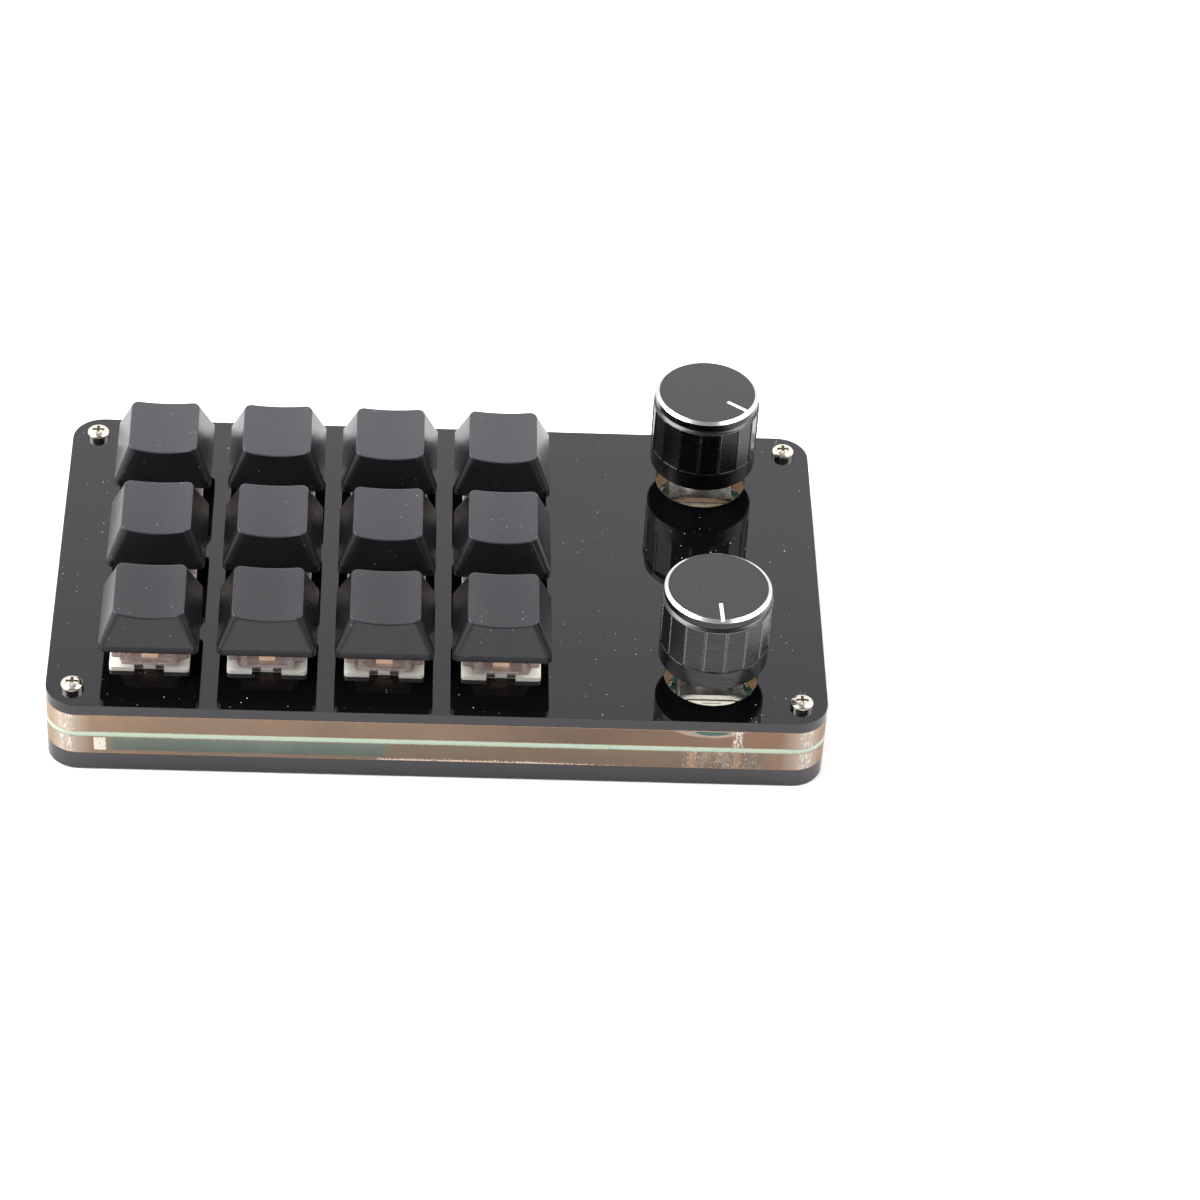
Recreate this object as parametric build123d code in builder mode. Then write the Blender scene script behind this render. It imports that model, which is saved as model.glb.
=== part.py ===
"""Macro keypad: a sandwich of five acrylic and board sheets with twelve key switches and two rotary knobs.

The origin is at the middle of the underside. +X runs to the knobs, +Y to the rear edge and +Z up.
Lengths are in millimetres.
"""

import os
from math import pi, sqrt

from build123d import *

os.makedirs("parts", exist_ok=True)

# Case sheets
case_length = 152.4
case_depth = 88.9
case_corner = 6.35
bottom_thickness = 4.0
clear_thickness = 4.1
paper_thickness = 0.1
board_thickness = 1.2
top_thickness = 2.4

# Places of the keys
key_columns = 4
key_rows = 3
key_pitch_x = 22.86
key_pitch_y = 25.4
key_field_x = -22.1
key_field_y = -0.8

# Places of the knobs and where their pointers stand, in degrees from +X
knob_column_x = 53.5
knob_inset_y = 14.05
pointer_angles = {"back": -36.5, "front": -87.3}

# Holes in the sheets
switch_hole = 14.0
switch_relief = 14.4
knob_hole_radius = 9.3
screw_clearance = 0.1
component_bay = 12.0
component_bay_x = 33.0
component_bay_y = 2.0
window_length = 53.5
window_wall = 2.6
window_land = 1.05
window_x = -36.7

# Corner screws and their threaded inserts
screw_inset_x = 5.2
screw_inset_y = 5.4
screw_radius = 1.25
screw_length = 15.6
screw_head_radius = 2.25
screw_head_height = 1.7
screw_head_rim = 0.8
recess_length = 2.5
recess_width = 0.6
recess_depth = 0.9
insert_radius = 1.85
insert_length = 3.8
insert_fit = 0.03
thread_fit = 0.04

# Key switch housing
switch_fit = 0.05
flange_width = 15.6
flange_height = 1.0
flange_corner = 0.7
notch_width = 5.8
notch_block_width = 2.3
housing_depth = 5.0
housing_wall = 1.2
housing_floor = 1.4
peg_radius = 1.975
peg_length = 3.3
peg_floor = 1.0
peg_hole_fit = 0.075
tube_radius = 1.6
cover_height = 5.6
cover_side_ledge = 0.2
cover_side_depth = 9.8
cover_end_width = 11.0
cover_top_width = 10.4
cover_top_depth = 9.8
cover_shoulder_depth = 8.0
cover_corner = 0.6
cover_wall = 0.9
cover_roof = 1.2
light_slot_width = 7.8
light_slot_depth = 1.5
light_slot_rise = 0.5
tab_thickness = 0.5
tab_gap = 0.1

# Key stem and its spring
key_travel = 4.0
travel_room = 0.5
stem_width = 7.0
stem_depth = 5.8
stem_rib_width = 2.8
stem_rib_depth = 7.2
stem_stop_gap = 0.3
stem_opening_fit = 0.2
shoulder_height = 1.3
cross_length = 4.0
cross_width = 1.2
cross_height = 3.6
pole_radius = 1.12
pole_fit = 0.08
spring_radius = 2.1
spring_wire = 0.35
spring_turns = 7
spring_room = 0.15
spring_cap = 0.5
spring_end_gap = 0.1

# Switch contacts
contact_thickness = 0.25
contact_pin_width = 0.9
contact_pin_length = 3.3
contact_foot = 0.3
contact_fit = 0.02
contact_height = 5.6
contact_leaf_y = 5.08
contact_leaf_gap = 0.9
left_pin_x = -3.81
left_pin_y = 2.54
right_pin_x = 2.54
pin_hole_radius = 0.75

# Keycap
cap_width = 19.4
cap_corner = 1.3
cap_clearance = 2.4
cap_skirt_height = 1.6
cap_back_height = 10.0
cap_front_height = 8.4
cap_top_width = 13.6
cap_top_depth = 13.4
cap_top_corner = 1.6
cap_top_shift = 1.0
cap_wall = 1.3
cap_roof = 2.3
cap_edge = 0.3
dish_depth = 0.9
post_radius = 2.75
cross_fit = 0.05

# Rotary encoder
encoder_width = 11.7
encoder_depth = 12.0
encoder_height = 5.3
encoder_floor = 1.2
rotor_room_radius = 4.9
spindle_hole_radius = 2.3
bracket_thickness = 1.2
bracket_strap = 0.45
bracket_leg_width = 6.0
bracket_leg_lift = 0.3
lug_width = 2.0
lug_drop = 1.6
lug_slot_fit = 0.3
bushing_radius = 3.5
bushing_height = 5.0
shaft_radius = 3.0
shaft_length = 15.0
shaft_flat = 1.5
shaft_flat_length = 9.6
shaft_fit = 0.05
shaft_collar_radius = 3.9
collar_gap = 0.2
spindle_radius = 2.0
spindle_flat = 1.5
spindle_clearance = 0.4
rotor_radius = 4.6
rotor_height = 2.0
rotor_gap = 0.2
push_travel = 0.5
terminal_width = 0.8
terminal_thickness = 0.4
terminal_pitch = 2.5
terminal_reach = 1.5
terminal_rise = 0.8
terminal_drop = 1.2
terminal_hole_radius = 0.6

# Knob
knob_radius = 10.8
knob_height = 17.4
knob_gap = 5.3
knob_ring_width = 0.7
knob_ring_drop = 0.45
knob_shoulder_radius = 10.45
knob_shoulder_height = 1.45
knob_groove = 0.3
knob_band_height = 10.3
knob_band_base = 4.3
knob_lip_inset = 0.1
knob_edge = 0.4
flat_count = 16
flat_phase = 16.9
flat_cut = 0.32
rib_width = 0.32
bore_depth = 10.2
knob_recess_radius = 6.0
knob_recess_depth = 1.3
pointer_start = 5.0
pointer_width = 0.7
pointer_depth = 0.2
set_screw_radius = 1.5
set_screw_length = 6.0
set_screw_height = 3.1
set_screw_gap = 0.05
set_screw_socket = 0.85
set_screw_socket_depth = 1.5

# USB socket and the parts on the board's underside
socket_width = 8.94
socket_height = 3.26
socket_length = 7.35
socket_wall = 0.3
socket_back = 1.1
socket_x = 33.0
socket_inset = 0.1
socket_notch_fit = 0.25
tongue_width = 6.7
tongue_thickness = 0.7
tongue_length = 4.5
chip_width = 7.0
chip_height = 0.9
diode_length = 2.7
diode_width = 1.6
diode_height = 1.1
diode_y = -5.6

# Levels of the sheets
lower_clear_base = bottom_thickness + paper_thickness
lower_clear_top = lower_clear_base + clear_thickness
board_base = lower_clear_top + paper_thickness
board_top = board_base + board_thickness
upper_clear_base = board_top + paper_thickness
upper_clear_top = upper_clear_base + clear_thickness
top_base = upper_clear_top + paper_thickness
top_face = top_base + top_thickness

# Places on the sheets
key_spots = [
    (
        key_field_x + (column - (key_columns - 1) / 2) * key_pitch_x,
        key_field_y + ((key_rows - 1) / 2 - row) * key_pitch_y,
    )
    for row in range(key_rows)
    for column in range(key_columns)
]
knob_y = case_depth / 2 - knob_inset_y
knob_spots = {"back": (knob_column_x, knob_y), "front": (knob_column_x, -knob_y)}
screw_x = case_length / 2 - screw_inset_x
screw_y = case_depth / 2 - screw_inset_y
screw_spots = [(x, y) for x in (-screw_x, screw_x) for y in (-screw_y, screw_y)]


def case_sheet(base, thickness, screw_hole, key_hole=0.0, knob_hole=0.0):
    """One sheet of the case with round corners, and the holes that it needs."""
    with BuildPart() as sheet:
        with BuildSketch(Plane.XY.offset(base)):
            RectangleRounded(case_length, case_depth, case_corner)
            with Locations(*screw_spots):
                Circle(screw_hole, mode=Mode.SUBTRACT)
            if key_hole:
                with Locations(*key_spots):
                    Rectangle(key_hole, key_hole, mode=Mode.SUBTRACT)
            if knob_hole:
                with Locations(*knob_spots.values()):
                    Circle(knob_hole, mode=Mode.SUBTRACT)
        extrude(amount=thickness)
    return sheet


def copies(piece, spots):
    """The same piece at several places, as separate solids of one part."""
    with BuildPart() as group:
        with Locations(*spots):
            add(piece.part)
    return group


screw_hole_radius = screw_radius + screw_clearance

# Bottom plate
bottom_plate = case_sheet(0, bottom_thickness, insert_radius + insert_fit)
bottom_plate.part.label = "bottom_plate"
export_step(bottom_plate.part, "parts/bottom_plate.step")


def lower_sheet(base, thickness):
    """A sheet below the board: relief for the joints, a bay for the controller and the socket's notch."""
    rear_edge = case_depth / 2
    front_edge = -rear_edge
    notch_width_x = socket_width + 2 * socket_notch_fit
    notch_length = socket_length + socket_inset + socket_notch_fit
    window_front = front_edge + window_wall
    window_rear = key_field_y - (key_rows - 1) / 2 * key_pitch_y - switch_relief / 2 - window_land
    with BuildPart() as sheet:
        add(case_sheet(base, thickness, screw_hole_radius, switch_relief, knob_hole_radius).part)
        with BuildSketch(Plane.XY.offset(base)):
            with Locations((component_bay_x, component_bay_y)):
                Rectangle(component_bay, component_bay)
            with Locations((window_x, (window_front + window_rear) / 2)):
                Rectangle(window_length, window_rear - window_front)
            with Locations((socket_x, rear_edge - notch_length / 2)):
                Rectangle(notch_width_x, notch_length)
        extrude(amount=thickness, mode=Mode.SUBTRACT)
    return sheet


def upper_sheet(base, thickness):
    """A sheet between the board and the top plate."""
    return case_sheet(base, thickness, screw_hole_radius, switch_relief, knob_hole_radius)


# Clear spacers
lower_spacer = lower_sheet(lower_clear_base, clear_thickness)
lower_spacer.part.label = "lower_spacer"
export_step(lower_spacer.part, "parts/lower_spacer.step")

upper_spacer = upper_sheet(upper_clear_base, clear_thickness)
upper_spacer.part.label = "upper_spacer"
export_step(upper_spacer.part, "parts/upper_spacer.step")

# Masking papers left on both faces of each spacer
with BuildPart() as spacer_papers:
    add(lower_sheet(bottom_thickness, paper_thickness).part)
    add(lower_sheet(lower_clear_top, paper_thickness).part)
    add(upper_sheet(board_top, paper_thickness).part)
    add(upper_sheet(upper_clear_top, paper_thickness).part)
spacer_papers.part.label = "spacer_papers"
export_step(spacer_papers.part, "parts/spacer_papers.step")

# Top plate, which carries the switches by their flanges
top_plate = case_sheet(top_base, top_thickness, screw_hole_radius, switch_hole, knob_hole_radius)
top_plate.part.label = "top_plate"
export_step(top_plate.part, "parts/top_plate.step")

# Circuit board with its drilled holes
contact_spots = [(left_pin_x, left_pin_y), (right_pin_x, contact_leaf_y)]
pin_spots = [(x + dx, y + dy) for x, y in key_spots for dx, dy in contact_spots]
terminal_y = encoder_depth / 2 + terminal_reach - terminal_thickness / 2
terminal_spots = [(column * terminal_pitch, -terminal_y) for column in (-1, 0, 1)]
terminal_spots += [(column * terminal_pitch, terminal_y) for column in (-1, 1)]
encoder_holes = [(x + dx, y + dy) for x, y in knob_spots.values() for dx, dy in terminal_spots]
lug_x = encoder_width / 2 + bracket_strap / 2
lug_slots = [(x + side * lug_x, y) for x, y in knob_spots.values() for side in (-1, 1)]
with BuildPart() as circuit_board:
    add(case_sheet(board_base, board_thickness, screw_hole_radius).part)
    with BuildSketch(Plane.XY.offset(board_base)):
        with Locations(*key_spots):
            Circle(peg_radius + peg_hole_fit)
        with Locations(*pin_spots):
            Circle(pin_hole_radius)
        with Locations(*encoder_holes):
            Circle(terminal_hole_radius)
        with Locations(*lug_slots):
            Rectangle(bracket_strap + 2 * lug_slot_fit, lug_width + 2 * lug_slot_fit)
    extrude(amount=board_thickness, mode=Mode.SUBTRACT)
circuit_board.part.label = "circuit_board"
export_step(circuit_board.part, "parts/circuit_board.step")

# Pan-head corner screws with a cross recess
head_top = top_face + screw_head_height
head_dome = screw_head_height - screw_head_rim
with BuildPart() as corner_screw:
    with BuildSketch(Plane.XZ) as screw_profile:
        with BuildLine():
            Polyline(
                (0, head_top),
                (0, top_face - screw_length),
                (screw_radius - thread_fit, top_face - screw_length),
                (screw_radius - thread_fit, top_face),
                (screw_head_radius, top_face),
                (screw_head_radius, top_face + screw_head_rim),
            )
            EllipticalCenterArc(
                (0, top_face + screw_head_rim), screw_head_radius, head_dome, start_angle=0, arc_size=90
            )
        make_face()
    revolve(axis=Axis.Z)
    with BuildSketch(Plane.XY.offset(head_top - recess_depth)):
        Rectangle(recess_length, recess_width)
        Rectangle(recess_width, recess_length)
    extrude(amount=recess_depth, mode=Mode.SUBTRACT)
corner_screws = copies(corner_screw, screw_spots)
corner_screws.part.label = "corner_screws"
export_step(corner_screws.part, "parts/corner_screws.step")

# Brass inserts in the bottom plate
with BuildPart() as insert:
    with BuildSketch(Plane.XY.offset(bottom_thickness - insert_length)):
        Circle(insert_radius)
        Circle(screw_radius, mode=Mode.SUBTRACT)
    extrude(amount=insert_length)
threaded_inserts = copies(insert, screw_spots)
threaded_inserts.part.label = "threaded_inserts"
export_step(threaded_inserts.part, "parts/threaded_inserts.step")

# Levels inside a switch, from the stem's travel
housing_base = top_face - housing_depth
cavity_floor = housing_base + housing_floor
peg_tip = housing_base - peg_length
flange_top = top_face + flange_height
cover_top = flange_top + cover_height
roof_base = cover_top - cover_roof
foot_top = cavity_floor + contact_foot
skirt_top = roof_base - stem_stop_gap
skirt_base = foot_top + key_travel + travel_room
shoulder_top = skirt_top + shoulder_height
spring_seat = skirt_top - spring_cap
tube_top = spring_seat - key_travel - 2 * travel_room
pole_bore_floor = peg_tip + peg_floor
pole_tip = pole_bore_floor + key_travel + travel_room

# Switch housings
housing_width = switch_hole - 2 * switch_fit
cavity_width = housing_width - 2 * housing_wall
notch_depth = (flange_width - housing_width) / 2
tab_width = (notch_width - notch_block_width) / 2
tab_spots = [
    (side * (notch_width - tab_width) / 2, end * (housing_width - tab_thickness) / 2)
    for side in (-1, 1)
    for end in (-1, 1)
]
with BuildPart() as switch_base:
    with BuildSketch(Plane.XY.offset(housing_base)):
        Rectangle(housing_width, housing_width)
    extrude(amount=housing_depth + flange_height)
    with BuildSketch(Plane.XY.offset(top_face)):
        RectangleRounded(flange_width, flange_width, flange_corner)
        with Locations((0, flange_width / 2), (0, -flange_width / 2)):
            Rectangle(notch_width, 2 * notch_depth, mode=Mode.SUBTRACT)
    extrude(amount=flange_height)
    with BuildSketch(Plane.XY.offset(top_face)):
        with Locations(*tab_spots):
            Rectangle(tab_width, tab_thickness + 2 * tab_gap)
    extrude(amount=flange_height, mode=Mode.SUBTRACT)
    with BuildSketch(Plane.XY.offset(cavity_floor)):
        Rectangle(cavity_width, cavity_width)
    extrude(amount=flange_top - cavity_floor, mode=Mode.SUBTRACT)
    with BuildSketch(Plane.XY.offset(peg_tip)):
        Circle(peg_radius)
    extrude(amount=peg_length)
    with BuildSketch(Plane.XY.offset(cavity_floor)):
        Circle(tube_radius)
    extrude(amount=tube_top - cavity_floor)
    with BuildSketch(Plane.XY.offset(pole_bore_floor)):
        Circle(pole_radius + pole_fit)
    extrude(amount=tube_top - pole_bore_floor, mode=Mode.SUBTRACT)
    with BuildSketch(Plane.XY.offset(housing_base)):
        with Locations(*contact_spots):
            Rectangle(contact_pin_width + 2 * contact_fit, contact_thickness + 2 * contact_fit)
    extrude(amount=housing_floor, mode=Mode.SUBTRACT)
switch_bases = copies(switch_base, key_spots)
switch_bases.part.label = "switch_bases"
export_step(switch_bases.part, "parts/switch_bases.step")

# Clear switch covers: a wide middle crossed by a narrower end part, with a light slot at the front
cover_side_width = flange_width - 2 * cover_side_ledge
cover_end_depth = housing_width
slot_back = cover_end_depth / 2 - light_slot_depth
cavity_back = cover_end_depth / 2 - cover_wall
cavity_front = slot_back - cover_wall
roof_cavity_depth = cover_top_depth - 2 * cover_wall
with BuildPart() as switch_cover:
    for base, top in (
        ((cover_side_width, cover_side_depth), (cover_top_width, cover_shoulder_depth)),
        ((cover_end_width, cover_end_depth), (cover_top_width, cover_top_depth)),
    ):
        with BuildSketch(Plane.XY.offset(flange_top)):
            RectangleRounded(*base, cover_corner)
        with BuildSketch(Plane.XY.offset(cover_top)):
            RectangleRounded(*top, cover_corner)
        loft()
    with BuildSketch(Plane.XY.offset(flange_top)):
        with Locations((0, (cavity_back - cavity_front) / 2)):
            Rectangle(cover_end_width - 2 * cover_wall, cavity_back + cavity_front)
    with BuildSketch(Plane.XY.offset(roof_base)):
        Rectangle(cover_top_width - 2 * cover_wall, roof_cavity_depth)
    loft(mode=Mode.SUBTRACT)
    with BuildSketch(Plane.XY.offset(roof_base)):
        Rectangle(stem_width + 2 * stem_opening_fit, stem_depth + 2 * stem_opening_fit)
    extrude(amount=cover_roof, mode=Mode.SUBTRACT)
    with BuildSketch(Plane.XY.offset(flange_top + light_slot_rise)):
        with Locations((0, -cover_end_depth / 2)):
            Rectangle(light_slot_width, 2 * light_slot_depth)
    extrude(amount=cover_height - light_slot_rise, mode=Mode.SUBTRACT)
    with BuildSketch(Plane.XY.offset(top_face + tab_gap)):
        with Locations(*tab_spots):
            Rectangle(tab_width - 2 * tab_gap, tab_thickness)
    extrude(amount=flange_height - tab_gap)
switch_covers = copies(switch_cover, key_spots)
switch_covers.part.label = "switch_covers"
export_step(switch_covers.part, "parts/switch_covers.step")

# Switch contacts: a pin through the board and a leaf beside the stem
pin_tip = housing_base - contact_pin_length
left_edge = left_pin_x - contact_pin_width / 2
right_edge = right_pin_x + contact_pin_width / 2
with BuildPart() as contact_pair:
    with BuildSketch(Plane.XY.offset(pin_tip)):
        with Locations(*contact_spots):
            Rectangle(contact_pin_width, contact_thickness)
    extrude(amount=foot_top - pin_tip)
    with BuildSketch(Plane.XY.offset(cavity_floor)):
        with Locations((left_pin_x, (left_pin_y + contact_leaf_y) / 2)):
            Rectangle(contact_pin_width, contact_leaf_y - left_pin_y + contact_thickness)
    extrude(amount=contact_foot)
    with BuildSketch(Plane.XY.offset(cavity_floor)):
        for inner, outer in ((-contact_leaf_gap / 2, left_edge), (contact_leaf_gap / 2, right_edge)):
            with Locations(((inner + outer) / 2, contact_leaf_y)):
                Rectangle(abs(outer - inner), contact_thickness)
    extrude(amount=contact_height)
switch_contacts = copies(contact_pair, key_spots)
switch_contacts.part.label = "switch_contacts"
export_step(switch_contacts.part, "parts/switch_contacts.step")

# Key stem: ribbed skirt under the roof, shoulder through it, cross for the cap and a pole in the tube
with BuildPart() as key_stem:
    with BuildSketch(Plane.XY.offset(skirt_base)):
        Rectangle(stem_width, stem_depth)
        Rectangle(stem_rib_width, stem_rib_depth)
    extrude(amount=skirt_top - skirt_base)
    with BuildSketch(Plane.XY.offset(skirt_top)):
        Rectangle(stem_width, stem_depth)
    extrude(amount=shoulder_height)
    with BuildSketch(Plane.XY.offset(shoulder_top)):
        Rectangle(cross_length, cross_width)
        Rectangle(cross_width, cross_length)
    extrude(amount=cross_height)
    with BuildSketch(Plane.XY.offset(skirt_base)):
        Circle(spring_radius + spring_wire / 2 + spring_room)
    extrude(amount=spring_seat - skirt_base, mode=Mode.SUBTRACT)
    with BuildSketch(Plane.XY.offset(pole_tip)):
        Circle(pole_radius)
    extrude(amount=spring_seat - pole_tip)

# Coil spring between the housing's floor and the stem
coil_base = cavity_floor + spring_end_gap + spring_wire / 2
coil_height = spring_seat - spring_end_gap - spring_wire / 2 - coil_base
with BuildPart() as key_spring:
    with BuildLine() as coil_path:
        Helix(
            pitch=coil_height / spring_turns,
            height=coil_height,
            radius=spring_radius,
            center=(0, 0, coil_base),
        )
    with BuildSketch(Plane(origin=coil_path.line @ 0, z_dir=coil_path.line % 0)):
        Circle(spring_wire / 2)
    sweep(is_frenet=True)

# Keycap: an upright skirt and a tapered shell with a scooped, forward-leaning top
cap_rim = top_face + key_travel + cap_clearance
cap_skirt_top = cap_rim + cap_skirt_height
cap_top_middle = cap_rim + (cap_back_height + cap_front_height) / 2
lean = cap_back_height - cap_front_height
lean_length = sqrt(cap_top_depth**2 + lean**2)
top_normal = Vector(0, -lean / lean_length, cap_top_depth / lean_length)
top_back = Vector(0, cap_top_depth / lean_length, lean / lean_length)
top_centre = Vector(0, -cap_top_shift, cap_top_middle)
cap_top_plane = Plane(origin=top_centre, x_dir=(1, 0, 0), z_dir=top_normal)
dish_radius = (dish_depth**2 + (cap_top_width / 2) ** 2) / (2 * dish_depth)
dish_plane = Plane(
    origin=top_centre + top_normal * (dish_radius - dish_depth),
    x_dir=(1, 0, 0),
    z_dir=top_back,
)
with BuildPart() as keycap:
    with BuildSketch(Plane.XY.offset(cap_rim)):
        RectangleRounded(cap_width, cap_width, cap_corner)
    extrude(amount=cap_skirt_height)
    with BuildSketch(Plane.XY.offset(cap_skirt_top)):
        RectangleRounded(cap_width, cap_width, cap_corner)
    with BuildSketch(cap_top_plane):
        RectangleRounded(cap_top_width, lean_length, cap_top_corner)
    loft()
    with BuildSketch(dish_plane):
        Circle(dish_radius)
    extrude(amount=cap_width, both=True, mode=Mode.SUBTRACT)
    dished_top = keycap.faces().sort_by(Axis.Z)[-1]
    fillet(dished_top.edges(), cap_edge)
    with BuildSketch(Plane.XY.offset(cap_rim)):
        Rectangle(cap_width - 2 * cap_wall, cap_width - 2 * cap_wall)
    extrude(amount=cap_skirt_height, mode=Mode.SUBTRACT)
    with BuildSketch(Plane.XY.offset(cap_skirt_top)):
        Rectangle(cap_width - 2 * cap_wall, cap_width - 2 * cap_wall)
    with BuildSketch(cap_top_plane.offset(-cap_roof)):
        Rectangle(cap_top_width - 2 * cap_wall, lean_length - 2 * cap_wall)
    loft(mode=Mode.SUBTRACT)
    with BuildSketch(Plane.XY.offset(shoulder_top)):
        Circle(post_radius)
    extrude(amount=cap_top_middle - cap_roof / 2 - shoulder_top)
    with BuildSketch(Plane.XY.offset(shoulder_top)):
        Rectangle(cross_length + 2 * cross_fit, cross_width + 2 * cross_fit)
        Rectangle(cross_width + 2 * cross_fit, cross_length + 2 * cross_fit)
    extrude(amount=cross_height + cross_fit, mode=Mode.SUBTRACT)

# Every key has its own cap, stem and spring
for number, spot in enumerate(key_spots, start=1):
    for piece, name in ((keycap, "keycap"), (key_stem, "key_stem"), (key_spring, "key_spring")):
        placed = copies(piece, [spot])
        placed.part.label = f"{name}_{number}"
        export_step(placed.part, f"parts/{name}_{number}.step")

# Encoder bodies
encoder_top = board_top + encoder_height
bracket_top = encoder_top + bracket_thickness
room_floor = board_top + encoder_floor
with BuildPart() as encoder_body:
    with BuildSketch(Plane.XY.offset(board_top)):
        Rectangle(encoder_width, encoder_depth)
        Circle(spindle_hole_radius, mode=Mode.SUBTRACT)
    extrude(amount=encoder_height)
    with BuildSketch(Plane.XY.offset(room_floor)):
        Circle(rotor_room_radius)
    extrude(amount=encoder_height - encoder_floor, mode=Mode.SUBTRACT)
encoder_bodies = copies(encoder_body, knob_spots.values())
encoder_bodies.part.label = "encoder_bodies"
export_step(encoder_bodies.part, "parts/encoder_bodies.step")

# Steel brackets with the shaft's bushing
bracket_width = encoder_width + 2 * bracket_strap
bushing_top = bracket_top + bushing_height
leg_base = board_top + bracket_leg_lift
lug_tip = board_base - lug_drop
shaft_bore_radius = shaft_radius + shaft_fit
with BuildPart() as encoder_bracket:
    with BuildSketch(Plane.XY.offset(encoder_top)):
        Rectangle(bracket_width, encoder_depth)
    extrude(amount=bracket_thickness)
    with BuildSketch(Plane.XY.offset(bracket_top)):
        Circle(bushing_radius)
    extrude(amount=bushing_height)
    with BuildSketch(Plane.XY.offset(encoder_top)):
        Circle(shaft_bore_radius)
    extrude(amount=bushing_top - encoder_top, mode=Mode.SUBTRACT)
    with BuildSketch(Plane.XY.offset(leg_base)):
        with Locations((-lug_x, 0), (lug_x, 0)):
            Rectangle(bracket_strap, bracket_leg_width)
    extrude(amount=encoder_top - leg_base)
    with BuildSketch(Plane.XY.offset(lug_tip)):
        with Locations((-lug_x, 0), (lug_x, 0)):
            Rectangle(bracket_strap, lug_width)
    extrude(amount=leg_base - lug_tip)
encoder_brackets = copies(encoder_bracket, knob_spots.values())
encoder_brackets.part.label = "encoder_brackets"
export_step(encoder_brackets.part, "parts/encoder_brackets.step")

# Encoder terminals, bent down into the board
terminal_tip = board_base - terminal_drop
terminal_base = board_top + terminal_rise
with BuildPart() as terminals:
    with BuildSketch(Plane.XY.offset(terminal_tip)):
        with Locations(*terminal_spots):
            Rectangle(terminal_width, terminal_thickness)
    extrude(amount=terminal_base - terminal_tip)
    with BuildSketch(Plane.XY.offset(terminal_base)):
        for x, y in terminal_spots:
            side = 1 if y > 0 else -1
            with Locations((x, side * (encoder_depth + terminal_reach) / 2)):
                Rectangle(terminal_width, terminal_reach)
    extrude(amount=terminal_thickness)
encoder_terminals = copies(terminals, knob_spots.values())
encoder_terminals.part.label = "encoder_terminals"
export_step(encoder_terminals.part, "parts/encoder_terminals.step")

# Rotor, keyed to the shaft by a flat and free to turn in the encoder's body
rotor_base = room_floor + rotor_gap
with BuildPart() as encoder_rotor:
    with BuildSketch(Plane.XY.offset(rotor_base)):
        Circle(rotor_radius)
        with BuildSketch(mode=Mode.SUBTRACT):
            Circle(spindle_radius + shaft_fit)
            with Locations((-spindle_flat - shaft_fit - spindle_radius, 0)):
                Rectangle(2 * spindle_radius, 2 * rotor_radius, mode=Mode.SUBTRACT)
    extrude(amount=rotor_height)

# Shaft with its spindle, its collar under the bracket and a flat for the set screw
collar_top = encoder_top - collar_gap
collar_base = rotor_base + rotor_height + push_travel + collar_gap
spindle_tip = board_top + push_travel + spindle_clearance
shaft_top = bracket_top + shaft_length
flat_base = shaft_top - shaft_flat_length
with BuildPart() as encoder_shaft:
    with BuildSketch(Plane.XY.offset(spindle_tip)):
        Circle(spindle_radius)
        with Locations((-spindle_flat - spindle_radius, 0)):
            Rectangle(2 * spindle_radius, 2 * spindle_radius, mode=Mode.SUBTRACT)
    extrude(amount=collar_base - spindle_tip)
    with BuildSketch(Plane.XY.offset(collar_base)):
        Circle(shaft_collar_radius)
    extrude(amount=collar_top - collar_base)
    with BuildSketch(Plane.XY.offset(collar_top)):
        Circle(shaft_radius)
    extrude(amount=shaft_top - collar_top)
    with BuildSketch(Plane.XY.offset(flat_base)):
        with Locations((-shaft_flat - shaft_radius, 0)):
            Rectangle(2 * shaft_radius, 2 * shaft_radius)
    extrude(amount=shaft_flat_length, mode=Mode.SUBTRACT)

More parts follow.
